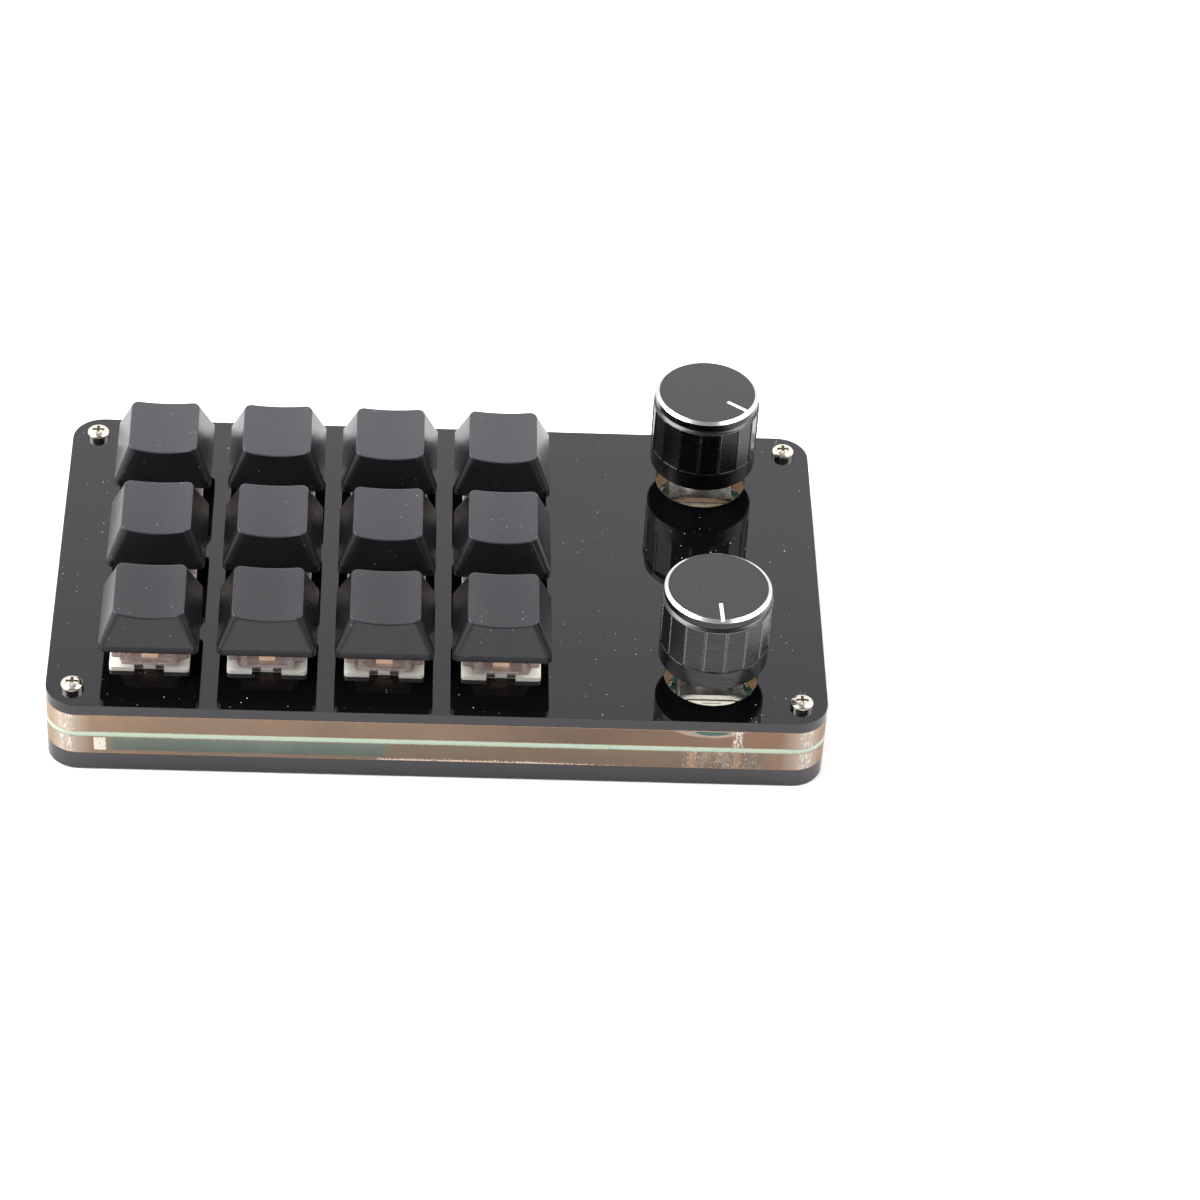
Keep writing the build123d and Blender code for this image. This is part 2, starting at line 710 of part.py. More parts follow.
# Knob: turned body with a bright ring, a groove, flats between ribs and a plain foot
knob_base = top_face + knob_gap
knob_top = knob_base + knob_height
ring_base = knob_top - knob_ring_drop
shoulder_base = ring_base - knob_shoulder_height
band_base = knob_base + knob_band_base
band_top = band_base + knob_band_height
foot_radius = knob_radius - knob_lip_inset
set_screw_z = knob_base + set_screw_height
set_screw_start = shaft_flat + set_screw_gap
flat_pitch = 2 * pi * (knob_radius - flat_cut) / flat_count
with BuildPart() as knob:
    with BuildSketch(Plane.XZ):
        with BuildLine():
            Polyline(
                (0, knob_base),
                (foot_radius - knob_edge, knob_base),
                (foot_radius, knob_base + knob_edge),
                (foot_radius, band_base),
                (knob_radius, band_base),
                (knob_radius, band_top),
                (knob_shoulder_radius, band_top + (knob_radius - knob_shoulder_radius)),
                (knob_shoulder_radius - knob_groove, shoulder_base - knob_groove),
                (knob_shoulder_radius - knob_groove, shoulder_base),
                (knob_shoulder_radius, shoulder_base),
                (knob_shoulder_radius, ring_base),
                (knob_shoulder_radius - knob_ring_width, knob_top),
                (0, knob_top),
                close=True,
            )
        make_face()
    revolve(axis=Axis.Z)
    with BuildSketch(Plane.XY.offset(band_base)):
        with PolarLocations(knob_radius - flat_cut + knob_radius / 2, flat_count, flat_phase):
            Rectangle(knob_radius, flat_pitch - rib_width)
    extrude(amount=band_top - band_base, mode=Mode.SUBTRACT)
    with BuildSketch(Plane.XY.offset(knob_base)):
        Circle(shaft_bore_radius)
    extrude(amount=bore_depth, mode=Mode.SUBTRACT)
    with BuildSketch(Plane.XY.offset(knob_base)):
        Circle(knob_recess_radius)
    extrude(amount=knob_recess_depth, mode=Mode.SUBTRACT)
    with BuildSketch(Plane.XY.offset(knob_top - pointer_depth)):
        with Locations((pointer_start + knob_radius / 2, 0)):
            SlotOverall(knob_radius, pointer_width)
    extrude(amount=pointer_depth, mode=Mode.SUBTRACT)
    with BuildSketch(Plane.YZ.offset(-knob_radius)):
        with Locations((0, set_screw_z)):
            Circle(set_screw_radius)
    extrude(amount=knob_radius - shaft_radius / 2, mode=Mode.SUBTRACT)

# Set screw that holds the knob on the shaft's flat
with BuildPart() as set_screw:
    with BuildSketch(Plane.YZ.offset(-set_screw_start - set_screw_length)):
        with Locations((0, set_screw_z)):
            Circle(set_screw_radius - thread_fit)
    extrude(amount=set_screw_length)
    with BuildSketch(Plane.YZ.offset(-set_screw_start - set_screw_length)):
        with Locations((0, set_screw_z)):
            RegularPolygon(set_screw_socket, 6)
    extrude(amount=set_screw_socket_depth, mode=Mode.SUBTRACT)

turned_pieces = {
    "encoder_rotor": encoder_rotor,
    "encoder_shaft": encoder_shaft,
    "knob": knob,
    "knob_set_screw": set_screw,
}
for place, spot in knob_spots.items():
    for name, piece in turned_pieces.items():
        turned = copies(piece, [Location((*spot, 0), (0, 0, pointer_angles[place]))])
        turned.part.label = f"{name}_{place}"
        export_step(turned.part, f"parts/{name}_{place}.step")

# USB socket hung from the board's rear edge, open to the rear
socket_mouth = case_depth / 2 - socket_inset
socket_z = board_base - socket_height / 2
with BuildPart() as usb_socket:
    with BuildSketch(Plane.XZ.offset(-socket_mouth)):
        with Locations((socket_x, socket_z)):
            SlotOverall(socket_width, socket_height)
    extrude(amount=socket_length)
    with BuildSketch(Plane.XZ.offset(-socket_mouth)):
        with Locations((socket_x, socket_z)):
            SlotOverall(socket_width - 2 * socket_wall, socket_height - 2 * socket_wall)
    extrude(amount=socket_length - socket_back, mode=Mode.SUBTRACT)
    with BuildSketch(Plane.XZ.offset(socket_length - socket_back - socket_mouth)):
        with Locations((socket_x, socket_z)):
            Rectangle(tongue_width, tongue_thickness)
    extrude(amount=-tongue_length)
usb_socket.part.label = "usb_socket"
export_step(usb_socket.part, "parts/usb_socket.step")

# Controller chip and one diode for each key, all on the board's underside
with BuildPart() as board_components:
    with BuildSketch(Plane.XY.offset(board_base)):
        with Locations((component_bay_x, component_bay_y)):
            Rectangle(chip_width, chip_width)
    extrude(amount=-chip_height)
    with BuildSketch(Plane.XY.offset(board_base)):
        with Locations(*[(x, y + diode_y) for x, y in key_spots]):
            Rectangle(diode_length, diode_width)
    extrude(amount=-diode_height)
board_components.part.label = "board_components"
export_step(board_components.part, "parts/board_components.step")
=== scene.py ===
import math

import bpy
import mathutils
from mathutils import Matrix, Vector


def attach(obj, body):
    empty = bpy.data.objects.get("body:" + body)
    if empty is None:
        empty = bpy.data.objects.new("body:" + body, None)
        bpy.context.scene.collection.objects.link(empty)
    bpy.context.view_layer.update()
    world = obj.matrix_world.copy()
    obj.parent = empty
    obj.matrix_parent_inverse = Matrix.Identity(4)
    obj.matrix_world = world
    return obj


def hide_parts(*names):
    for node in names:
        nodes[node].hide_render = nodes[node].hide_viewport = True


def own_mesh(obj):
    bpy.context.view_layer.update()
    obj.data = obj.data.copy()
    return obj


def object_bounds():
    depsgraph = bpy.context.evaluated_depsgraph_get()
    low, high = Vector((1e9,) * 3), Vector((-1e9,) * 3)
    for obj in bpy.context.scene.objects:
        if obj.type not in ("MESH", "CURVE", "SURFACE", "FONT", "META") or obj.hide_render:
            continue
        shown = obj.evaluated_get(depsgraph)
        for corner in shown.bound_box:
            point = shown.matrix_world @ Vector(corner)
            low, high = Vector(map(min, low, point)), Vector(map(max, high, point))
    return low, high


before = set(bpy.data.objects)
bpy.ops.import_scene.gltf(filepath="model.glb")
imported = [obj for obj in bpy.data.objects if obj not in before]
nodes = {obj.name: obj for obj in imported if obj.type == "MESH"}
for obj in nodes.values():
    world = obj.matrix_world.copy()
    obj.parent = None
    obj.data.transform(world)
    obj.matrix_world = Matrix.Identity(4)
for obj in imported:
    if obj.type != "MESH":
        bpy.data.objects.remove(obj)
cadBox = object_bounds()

scene = bpy.context.scene
print("frame loaded,", len(nodes), "pieces from the CAD")

# Sizes and places that the finishes line up with, in metres, as in the CAD
length = cadBox[1][0] - cadBox[0][0]
frontEdge, top = cadBox[0][1], cadBox[1][2]
lowerClear = (0.0041, 0.0082)  # underside and top of the lower spacer
keyGrid = {"x": 0.01219, "pitchX": 0.02286, "y": -0.0008, "pitchY": 0.0254}  # right column and middle row
columns = [keyGrid["x"] - step * keyGrid["pitchX"] for step in (3, 2, 1, 0)]
rows = [keyGrid["y"] - step * keyGrid["pitchY"] for step in (-1, 0, 1)]
knobPlaces = {"back": (0.0535, 0.0304), "front": (0.0535, -0.0304)}

# A noise pattern keeps mostly within the first of these, and nearly always within the second
noiseCore, noiseWide = (0.35, 0.65), (0.3, 0.7)
bevelRays = 4  # rays that find a rounded edge


def toLinear(code):
    # sRGB hex to the linear colour that the shaders use
    parts = [int(code[i:i + 2], 16) / 255 for i in (1, 3, 5)]
    return [c / 12.92 if c <= 0.04045 else ((c + 0.055) / 1.055) ** 2.4 for c in parts] + [1.0]


def perMm(size):
    # texture scale for a feature of this many millimetres, or of these along the three axes
    return [1000 / side for side in size] if isinstance(size, tuple) else 1000 / size


def addNode(tree, kind, sockets=(), stops=(), **settings):
    # one node with its settings and a ramp's stops. A dictionary names the sockets, and a list fills those in
    # use in their order. Each takes a value, a hex colour, a node's output, or a node for its first output
    node = tree.nodes.new("ShaderNode" + kind)
    for name, value in settings.items():
        setattr(node, name, value)
    inUse = [socket for socket in node.inputs if socket.enabled]
    for key, value in sockets.items() if isinstance(sockets, dict) else zip(inUse, sockets):
        socket = node.inputs[key] if isinstance(key, str) else key
        if isinstance(value, bpy.types.Node):
            value = next(output for output in value.outputs if output.enabled)
        if isinstance(value, bpy.types.NodeSocket):
            tree.links.new(value, socket)
        else:
            socket.default_value = toLinear(value) if isinstance(value, str) else value
    for number, (place, colour) in enumerate(stops):
        ramp = node.color_ramp.elements
        stop = ramp[number] if number < len(ramp) else ramp.new(place)
        stop.position = place
        stop.color = toLinear(colour) if isinstance(colour, str) else colour
    return node


# Camera: a long lens from the front, 40 degrees down
viewpoint = {
    "lens": 135.94, "sensor": 36.0,
    "pitch": 40.613, "yaw": 3.540, "roll": -3.859,  # degrees
    "distance": 0.92205, "aside": -0.032551, "above": -0.007768,  # metres
    "nearest": 0.05, "farthest": 50,
}


def makeCamera():
    pitch, yaw, roll = (math.radians(viewpoint[k]) for k in ("pitch", "yaw", "roll"))
    level = mathutils.Vector((math.sin(yaw), math.cos(yaw), 0))
    across = mathutils.Vector((math.cos(yaw), -math.sin(yaw), 0))
    plumb = mathutils.Vector((0, 0, 1))
    upward = level * math.sin(pitch) + plumb * math.cos(pitch)
    ahead = level * math.cos(pitch) - plumb * math.sin(pitch)
    right = across * math.cos(roll) - upward * math.sin(roll)
    up = across * math.sin(roll) + upward * math.cos(roll)
    place = -viewpoint["aside"] * across - viewpoint["above"] * upward - viewpoint["distance"] * ahead
    data = bpy.data.cameras.new("studioCamera")
    data.lens, data.sensor_width = viewpoint["lens"], viewpoint["sensor"]
    data.clip_start, data.clip_end = viewpoint["nearest"], viewpoint["farthest"]
    camera = bpy.data.objects.new("studioCamera", data)
    scene.collection.objects.link(camera)
    turned = [(right[k], up[k], -ahead[k], place[k]) for k in range(3)]
    camera.matrix_world = mathutils.Matrix(turned + [(0, 0, 0, 1)])
    scene.camera = camera


makeCamera()
scene.view_settings.view_transform = "Standard"
print("camera placed")

# Studio: white sweep that fades overhead, a softbox on each side
studio = {
    "floorSide": 8.0, "floorDrop": 0.0003,
    "sweep": 1.75, "cool": 1.01,  # light of the white sweep at eye level, and its blue against its red
    "fade": (  # sine of the height above the horizon and share of that light
        (0.0, 1.0), (0.42, 1.15), (0.582, 2.0), (0.61, 1.02), (0.645, 0.92), (0.70, 0.62), (0.75, 1.35),
        (0.80, 1.35), (0.86, 0.7), (1.0, 0.3)),
    "dim": (-0.60, -0.15), "dimShare": 0.17, "dimTurn": -0.38,  # darker behind the camera and to its right
    "softboxes": {  # place, size, light
        "left": ((-0.95, -0.05, 1.15), 1.0, 34.0),
        "right": ((0.95, 0.05, 1.15), 1.0, 20.0),
    },
}


def makeStudio():
    world = bpy.data.worlds.new("studioSweep")
    scene.world = world
    world.use_nodes = True
    tree = world.node_tree
    tree.nodes.clear()
    x, y, z = addNode(tree, "SeparateXYZ", [addNode(tree, "TexCoord").outputs["Generated"]]).outputs
    fade = addNode(tree, "ValToRGB", [z], [
        (height, (share, share, share * studio["cool"], 1)) for height, share in studio["fade"]])
    turned = addNode(tree, "Math", [x, studio["dimTurn"], y], operation="MULTIPLY_ADD")
    room = addNode(tree, "MapRange", [
        turned, *studio["dim"], studio["dimShare"] * studio["sweep"], studio["sweep"]])
    addNode(tree, "OutputWorld", [addNode(tree, "Background", [fade, room])])
    for side, (place, size, power) in studio["softboxes"].items():
        data = bpy.data.lights.new(side + "Softbox", "AREA")
        data.shape, data.size, data.energy = "SQUARE", size, power
        lamp = bpy.data.objects.new(side + "Softbox", data)
        scene.collection.objects.link(lamp)
        lamp.location = place
        lamp.rotation_mode = "QUATERNION"
        lamp.rotation_quaternion = (-mathutils.Vector(place)).to_track_quat("-Z", "Y")
    half = studio["floorSide"] / 2
    mesh = bpy.data.meshes.new("studioFloor")
    corners = [(-half, -half), (half, -half), (half, half), (-half, half)]
    mesh.from_pydata([(x, y, -studio["floorDrop"]) for x, y in corners], [], [(0, 1, 2, 3)])
    floor = bpy.data.objects.new("studioFloor", mesh)
    scene.collection.objects.link(floor)
    return floor


floor = makeStudio()


def newMaterial(name):
    # an empty material, and the place in metres that its patterns take
    made = bpy.data.materials.new(name)
    made.use_nodes = True
    tree = made.node_tree
    tree.nodes.clear()
    return made, tree, addNode(tree, "TexCoord").outputs["Object"]


def closeMaterial(tree, shader):
    addNode(tree, "OutputMaterial", [shader])


# Painted board, matt and near white, seen through from below so that the underside can be looked at
paintedBoard = {"pale": ("#e6e5e4", "#ebeae9"), "grain": 6.0, "matt": 0.5}


def makePaintedBoard():
    made, tree, place = newMaterial("paintedBoard")
    cloud = addNode(tree, "TexNoise", {"Vector": place, "Scale": perMm(paintedBoard["grain"])})
    tone = addNode(tree, "ValToRGB", [cloud], zip((0.0, 1.0), paintedBoard["pale"]))
    matt = addNode(tree, "BsdfDiffuse", {"Color": tone, "Roughness": paintedBoard["matt"]})
    side = addNode(tree, "NewGeometry")
    closeMaterial(tree, addNode(tree, "MixShader", [
        side.outputs["Backfacing"], matt, addNode(tree, "BsdfTransparent")]))
    return made


floor.data.materials.append(makePaintedBoard())
print("studio ready")


def flatShare(tree, steepest=0.6):
    # 1 on level faces and 0 on upright ones
    axes = addNode(tree, "SeparateXYZ", [addNode(tree, "NewGeometry").outputs["True Normal"]])
    rise = addNode(tree, "Math", [axes.outputs["Z"]], operation="ABSOLUTE")
    return addNode(tree, "Math", [rise, steepest], operation="GREATER_THAN")


def between(tree, value, start, end, soft):
    # 1 between two places on an axis, with soft ends
    rise = addNode(tree, "MapRange", [value, start - soft, start + soft])
    fall = addNode(tree, "MapRange", [value, end - soft, end + soft, 1.0, 0.0])
    return addNode(tree, "Math", [rise, fall], operation="MULTIPLY")


# House dust: pale specks and lint, one in some cells of the pattern and each of its own size
dust = {
    "pale": "#c9c5be", "pitch": 1.0, "size": 0.11, "drift": 14.0, "crowd": (0.37, 0.48), "faint": (0.15, 0.9),
}


def dustShare(tree, place):
    cells = addNode(tree, "TexVoronoi", {"Vector": place, "Scale": perMm(dust["pitch"])})
    draw = addNode(tree, "SeparateColor", [cells.outputs["Color"]])
    crowd = addNode(tree, "TexNoise", {"Vector": place, "Scale": perMm(dust["drift"]), "Detail": 1.0})
    reach = addNode(tree, "Math", [draw.outputs["Red"], crowd], operation="MULTIPLY")
    speckSize = addNode(tree, "MapRange", [reach, *dust["crowd"], 0.0, dust["size"] / dust["pitch"]])
    speck = addNode(tree, "Math", [cells.outputs["Distance"], speckSize], operation="LESS_THAN")
    faint = addNode(tree, "MapRange", [draw.outputs["Green"], 0.0, 1.0, *dust["faint"]])
    return addNode(tree, "Math", [speck, faint], operation="MULTIPLY")


# Cast acrylic, black, polished faces: a deep black under a mirror gloss, with dust and faint smears. The
# laser-cut edges are greyer, most on the bottom sheet, and keep faint upright lines
blackAcrylic = {
    "black": "#050506", "cut": ("#2b2a2d", "#0f0e10"), "ior": 1.49, "polish": (0.95, 0.94, 1.0, 1.0),
    "gloss": (0.012, 0.05), "smear": 18.0, "smearRange": (0.4, 0.75), "bevel": 0.00012,
    "lineSize": (0.35, 0.35, 12), "lineDepth": 0.00002, "lineStrength": 0.35,
}


def makeBlackAcrylic():
    made, tree, place = newMaterial("castAcrylicBlack")
    level = flatShare(tree)
    dusty = addNode(tree, "Math", [dustShare(tree, place), level], operation="MULTIPLY")
    height = addNode(tree, "SeparateXYZ", [place]).outputs["Z"]
    isTop = addNode(tree, "Math", [height, lowerClear[1]], operation="GREATER_THAN")
    cut = addNode(tree, "Mix", [isTop, *blackAcrylic["cut"]], data_type="RGBA")
    black = addNode(tree, "Mix", [level, cut, blackAcrylic["black"]], data_type="RGBA")
    tint = addNode(tree, "Mix", [dusty, black, dust["pale"]], data_type="RGBA")
    smear = addNode(tree, "TexNoise", {"Vector": place, "Scale": perMm(blackAcrylic["smear"]), "Detail": 3.0})
    gloss = addNode(tree, "MapRange", [smear, *blackAcrylic["smearRange"], *blackAcrylic["gloss"]])
    rough = addNode(tree, "Math", [gloss, dusty], operation="MAXIMUM")
    drawn = addNode(tree, "VectorMath", [place, perMm(blackAcrylic["lineSize"])], operation="MULTIPLY")
    lines = addNode(tree, "TexNoise", {"Vector": drawn, "Scale": 1.0, "Detail": 2.0})
    upright = addNode(tree, "Math", [1.0, level], operation="SUBTRACT")
    relief = addNode(tree, "Math", [lines, upright], operation="MULTIPLY")
    bump = addNode(tree, "Bump", {
        "Height": relief, "Distance": blackAcrylic["lineDepth"], "Strength": blackAcrylic["lineStrength"],
        "Normal": addNode(tree, "Bevel", {"Radius": blackAcrylic["bevel"]}, samples=bevelRays)})
    closeMaterial(tree, addNode(tree, "BsdfPrincipled", {
        "Base Color": tint, "Roughness": rough, "IOR": blackAcrylic["ior"],
        "Specular Tint": blackAcrylic["polish"], "Normal": bump}))
    return made


# Cast acrylic, clear: the laser-cut edge is frosted by fine upright lines and painted in the brown of the
# papers on both faces, with the board's green where the inside is cut away, as they would show through the
# sheet, and chips and painted sparkle at the corners and torn paper fibres. Places are in metres, as start,
# end and softness, and the sizes of patterns in millimetres
clearAcrylic = {
    "clear": "#fdfaf6", "ior": 1.49, "polish": 0.08, "matt": 0.42, "frost": 0.85,
    "lines": (0.22, 0.22, 4), "drift": 14.0, "grainShare": 0.7, "uneven": (0.86, 1.12),
    "reliefDepth": 0.00004, "relief": 0.4,
    "upper": ((0.05, "#8c6e52"), (0.17, "#785d45"), (0.5, "#725941"), (0.7, "#5b402b"), (0.93, "#785537")),
    "lower": ((0.05, "#85684d"), (0.20, "#765d45"), (0.5, "#62503d"), (0.8, "#69533f"), (0.93, "#7e5f47")),
    "front": (-0.001, 0.0006, 0.0002),  # beside the front edge
    # glue and torn paper behind the lower sheet's right end
    "patches": ((0.30, "#5f4d3a"), (0.46, "#69533f"), (0.54, "#7d6a59"), (0.62, "#8f6a45")),
    "patchX": (0.0465, 0.0640, 0.0015), "patchSize": (2.2, math.inf, 12), "patchChips": 0.80,
    # the board's green, painted on the edge where it shows through the cut-away lower sheet behind its front
    # edge, and past the front knob's hole
    "green": ((0.0, "#55655d"), (0.2, "#3e5046"), (0.75, "#475a52"), (1.0, "#5a6159")), "greenSway": 0.5,
    "windowX": (-0.06345, -0.00995, 0.0010), "foot": 0.0008, "head": 0.001, "windowSoft": 0.00015,
    "arcGreen": "#08493f", "arcHeight": 0.0137, "arcSize": (0.0035, 0.0011), "arcTop": (0.0136, 0.00005),
    # chips and steam marks, partly painted sparkle, and a painted sheen at the round corners
    "chip": "#e0d8ce", "chipSize": (0.30, 0.30, 1.05), "chipRange": (0.43, 0.62), "chipShare": 0.95,
    "corner": (0.009, 0.005), "bend": (0.003, 0.001), "cornerPaintedSheen": 0.34,  # inside the sheet's ends
    "hazeSize": (0.0105, 0.0040), "haze": (0.6, 1.0, 0.70, 0.0), "steam": (0.0572, 0.0602, 0.0008),
    "block": (-0.0668, -0.0642, 0.0003), "blockFoot": 0.0006, "blockLight": 1.4,  # left of the window
    # torn fibres of the papers
    "fibre": "#e3cdb8", "fibreSize": 0.4, "fibreRange": (0.42, 0.72), "fibreReach": 0.0009,
    "fibreStart": (-0.0125, -0.0115), "fibreThin": (0.020, 0.050, 1.0, 0.55),  # fewer towards the right
    "paper": ("#8a6848", "#b58f6c"), "pulp": 0.8, "paperMatt": 0.9,
    # painted glow: emission on the walls of its holes stands in for light that the sheet pipes to them; the
    # walls stand inside these edges
    "inner": (0.074, 0.0425, 0.0005), "glow": 0.35, "daylight": "#ecebe8", "piped": 1.5, "backShare": 0.2,
    "holeX": (0.010, 0.0005), "holeY": (-0.010, -0.005, 0.0005),  # from the knob's middle
}


def ovalReach(tree, x, z, size):
    # distance from the middle of the arc before the front knob, 1 on an oval of this size
    middles = (knobPlaces["front"][0], clearAcrylic["arcHeight"])
    reach = [addNode(tree, "MapRange", [value, middle, middle + half], clamp=False)
             for value, middle, half in zip((x, z), middles, size)]
    return addNode(tree, "VectorMath", [addNode(tree, "CombineXYZ", reach)], operation="LENGTH")


def brownTone(tree, place, x, isUpper):
    # one run of browns along each sheet, with patches in the lower one
    along = addNode(tree, "MapRange", [x, -length / 2, length / 2])
    lower, upper = (addNode(tree, "ValToRGB", [along], clearAcrylic[sheet]) for sheet in ("lower", "upper"))
    spots = addNode(tree, "VectorMath", [place, perMm(clearAcrylic["patchSize"])], operation="MULTIPLY")
    blot = addNode(tree, "TexNoise", {"Vector": spots, "Scale": 1.0, "Detail": 1.5})
    glue = addNode(tree, "ValToRGB", [blot], clearAcrylic["patches"])
    patch = between(tree, x, *clearAcrylic["patchX"])
    patched = addNode(tree, "Mix", [patch, lower, glue], data_type="RGBA")
    return addNode(tree, "Mix", [isUpper, patched, upper], data_type="RGBA")


def greenTone(tree, z, drift, upperArc):
    deep = addNode(tree, "MapRange", [z, *lowerClear])
    wavy = addNode(tree, "Math", [drift, clearAcrylic["greenSway"], deep], operation="MULTIPLY_ADD")
    settled = addNode(tree, "Math", [wavy, clearAcrylic["greenSway"] / 2], operation="SUBTRACT")
    green = addNode(tree, "ValToRGB", [settled], clearAcrylic["green"])
    return addNode(tree, "Mix", [upperArc, green, clearAcrylic["arcGreen"]], data_type="RGBA")


def chipMarks(tree, place, x, z, isUpper, upperArc):
    # pale marks, partly real chips and steam marks and partly painted sparkle, thickest at the round corners,
    # at the window's end and round the knob's hole; the round corners also get a painted sheen
    strokes = addNode(tree, "VectorMath", [place, perMm(clearAcrylic["chipSize"])], operation="MULTIPLY")
    chips = addNode(tree, "TexNoise", {"Vector": strokes, "Scale": 1.0, "Detail": 3.0, "Roughness": 0.7})
    farX = addNode(tree, "Math", [x], operation="ABSOLUTE")
    corner = addNode(tree, "MapRange", [farX, *(length / 2 - inside for inside in clearAcrylic["corner"])])
    bend = addNode(tree, "MapRange", [
        farX, *(length / 2 - inside for inside in clearAcrylic["bend"]), 1.0, 0.0])
    turned = addNode(tree, "Math", [corner, bend], operation="MULTIPLY")
    halo = addNode(tree, "MapRange", [
        ovalReach(tree, x, z, clearAcrylic["hazeSize"]), *clearAcrylic["haze"]])
    outside = addNode(tree, "Math", [1.0, upperArc], operation="SUBTRACT")
    below = addNode(tree, "Math", [1.0, isUpper], operation="SUBTRACT")
    patch = between(tree, x, *clearAcrylic["patchX"])
    flakes = addNode(tree, "Math", [patch, below], operation="MULTIPLY")
    foot = lowerClear[0] + clearAcrylic["blockFoot"]
    block = addNode(tree, "Math", [
        between(tree, x, *clearAcrylic["block"]),
        between(tree, z, foot, lowerClear[1], clearAcrylic["block"][2])], operation="MULTIPLY")
    marks = turned
    for share, where in (
            (halo, outside), (flakes, clearAcrylic["patchChips"]),
            (between(tree, x, *clearAcrylic["steam"]), isUpper), (block, clearAcrylic["blockLight"])):
        more = addNode(tree, "Math", [share, where], operation="MULTIPLY")
        marks = addNode(tree, "Math", [marks, more], operation="MAXIMUM")
    rub = addNode(tree, "Math", [chips, marks], operation="MULTIPLY")
    chipped = addNode(tree, "MapRange", [rub, *clearAcrylic["chipRange"], 0.0, clearAcrylic["chipShare"]])
    # painted sheen along the round corners
    sheen = addNode(tree, "Math", [turned, clearAcrylic["cornerPaintedSheen"]], operation="MULTIPLY")
    return rub, addNode(tree, "Math", [chipped, sheen], operation="MAXIMUM")


def fibreMarks(tree, place, x, z, front):
    # torn fibres stand along the lower edge of the front
    torn = addNode(tree, "TexNoise", {
        "Vector": place, "Scale": perMm(clearAcrylic["fibreSize"]), "Detail": 4.0, "Roughness": 0.75})
    start = addNode(tree, "MapRange", [x, *clearAcrylic["fibreStart"]])
    thinner = addNode(tree, "MapRange", [x, *clearAcrylic["fibreThin"]])
    spread = addNode(tree, "Math", [start, thinner], operation="MULTIPLY")
    fuzz = addNode(tree, "Math", [torn, spread], operation="MULTIPLY")
    reach = addNode(tree, "MapRange", [fuzz, *clearAcrylic["fibreRange"], 0.0, clearAcrylic["fibreReach"]])
    height = addNode(tree, "Math", [z, lowerClear[0]], operation="SUBTRACT")
    short = addNode(tree, "Math", [height, reach], operation="LESS_THAN")
    return addNode(tree, "Math", [short, front], operation="MULTIPLY")


def paintedPipedGlow(tree, x, y, isUpper):
    # painted glow: emission on the walls of the sheet's own holes stands in for daylight that the sheet pipes
    # to them.
    # Those of the front knob's hole are near the front edge and get more of it, the back knob's a little
    farX, farY, soft = clearAcrylic["inner"]
    inner = addNode(tree, "Math", [
        between(tree, x, -farX, farX, soft), between(tree, y, -farY, farY, soft)], operation="MULTIPLY")
    glow = addNode(tree, "Math", [inner, clearAcrylic["glow"]], operation="MULTIPLY")
    start, end, soft = clearAcrylic["holeY"]
    back, front = (between(tree, y, knobY + start, knobY + end, soft) for knobX, knobY in knobPlaces.values())
    less = addNode(tree, "Math", [back, clearAcrylic["backShare"]], operation="MULTIPLY")
    either = addNode(tree, "Math", [less, front], operation="MAXIMUM")
    knobX, reach, soft = knobPlaces["front"][0], *clearAcrylic["holeX"]
    ahead = addNode(tree, "Math", [either, between(tree, x, knobX - reach, knobX + reach, soft)],
                    operation="MULTIPLY")
    facing = addNode(tree, "Math", [ahead, isUpper], operation="MULTIPLY")
    day = addNode(tree, "Mix", [facing, clearAcrylic["paper"][1], clearAcrylic["daylight"]],
                  data_type="RGBA")
    return day, addNode(tree, "Math", [facing, clearAcrylic["piped"], glow], operation="MULTIPLY_ADD")


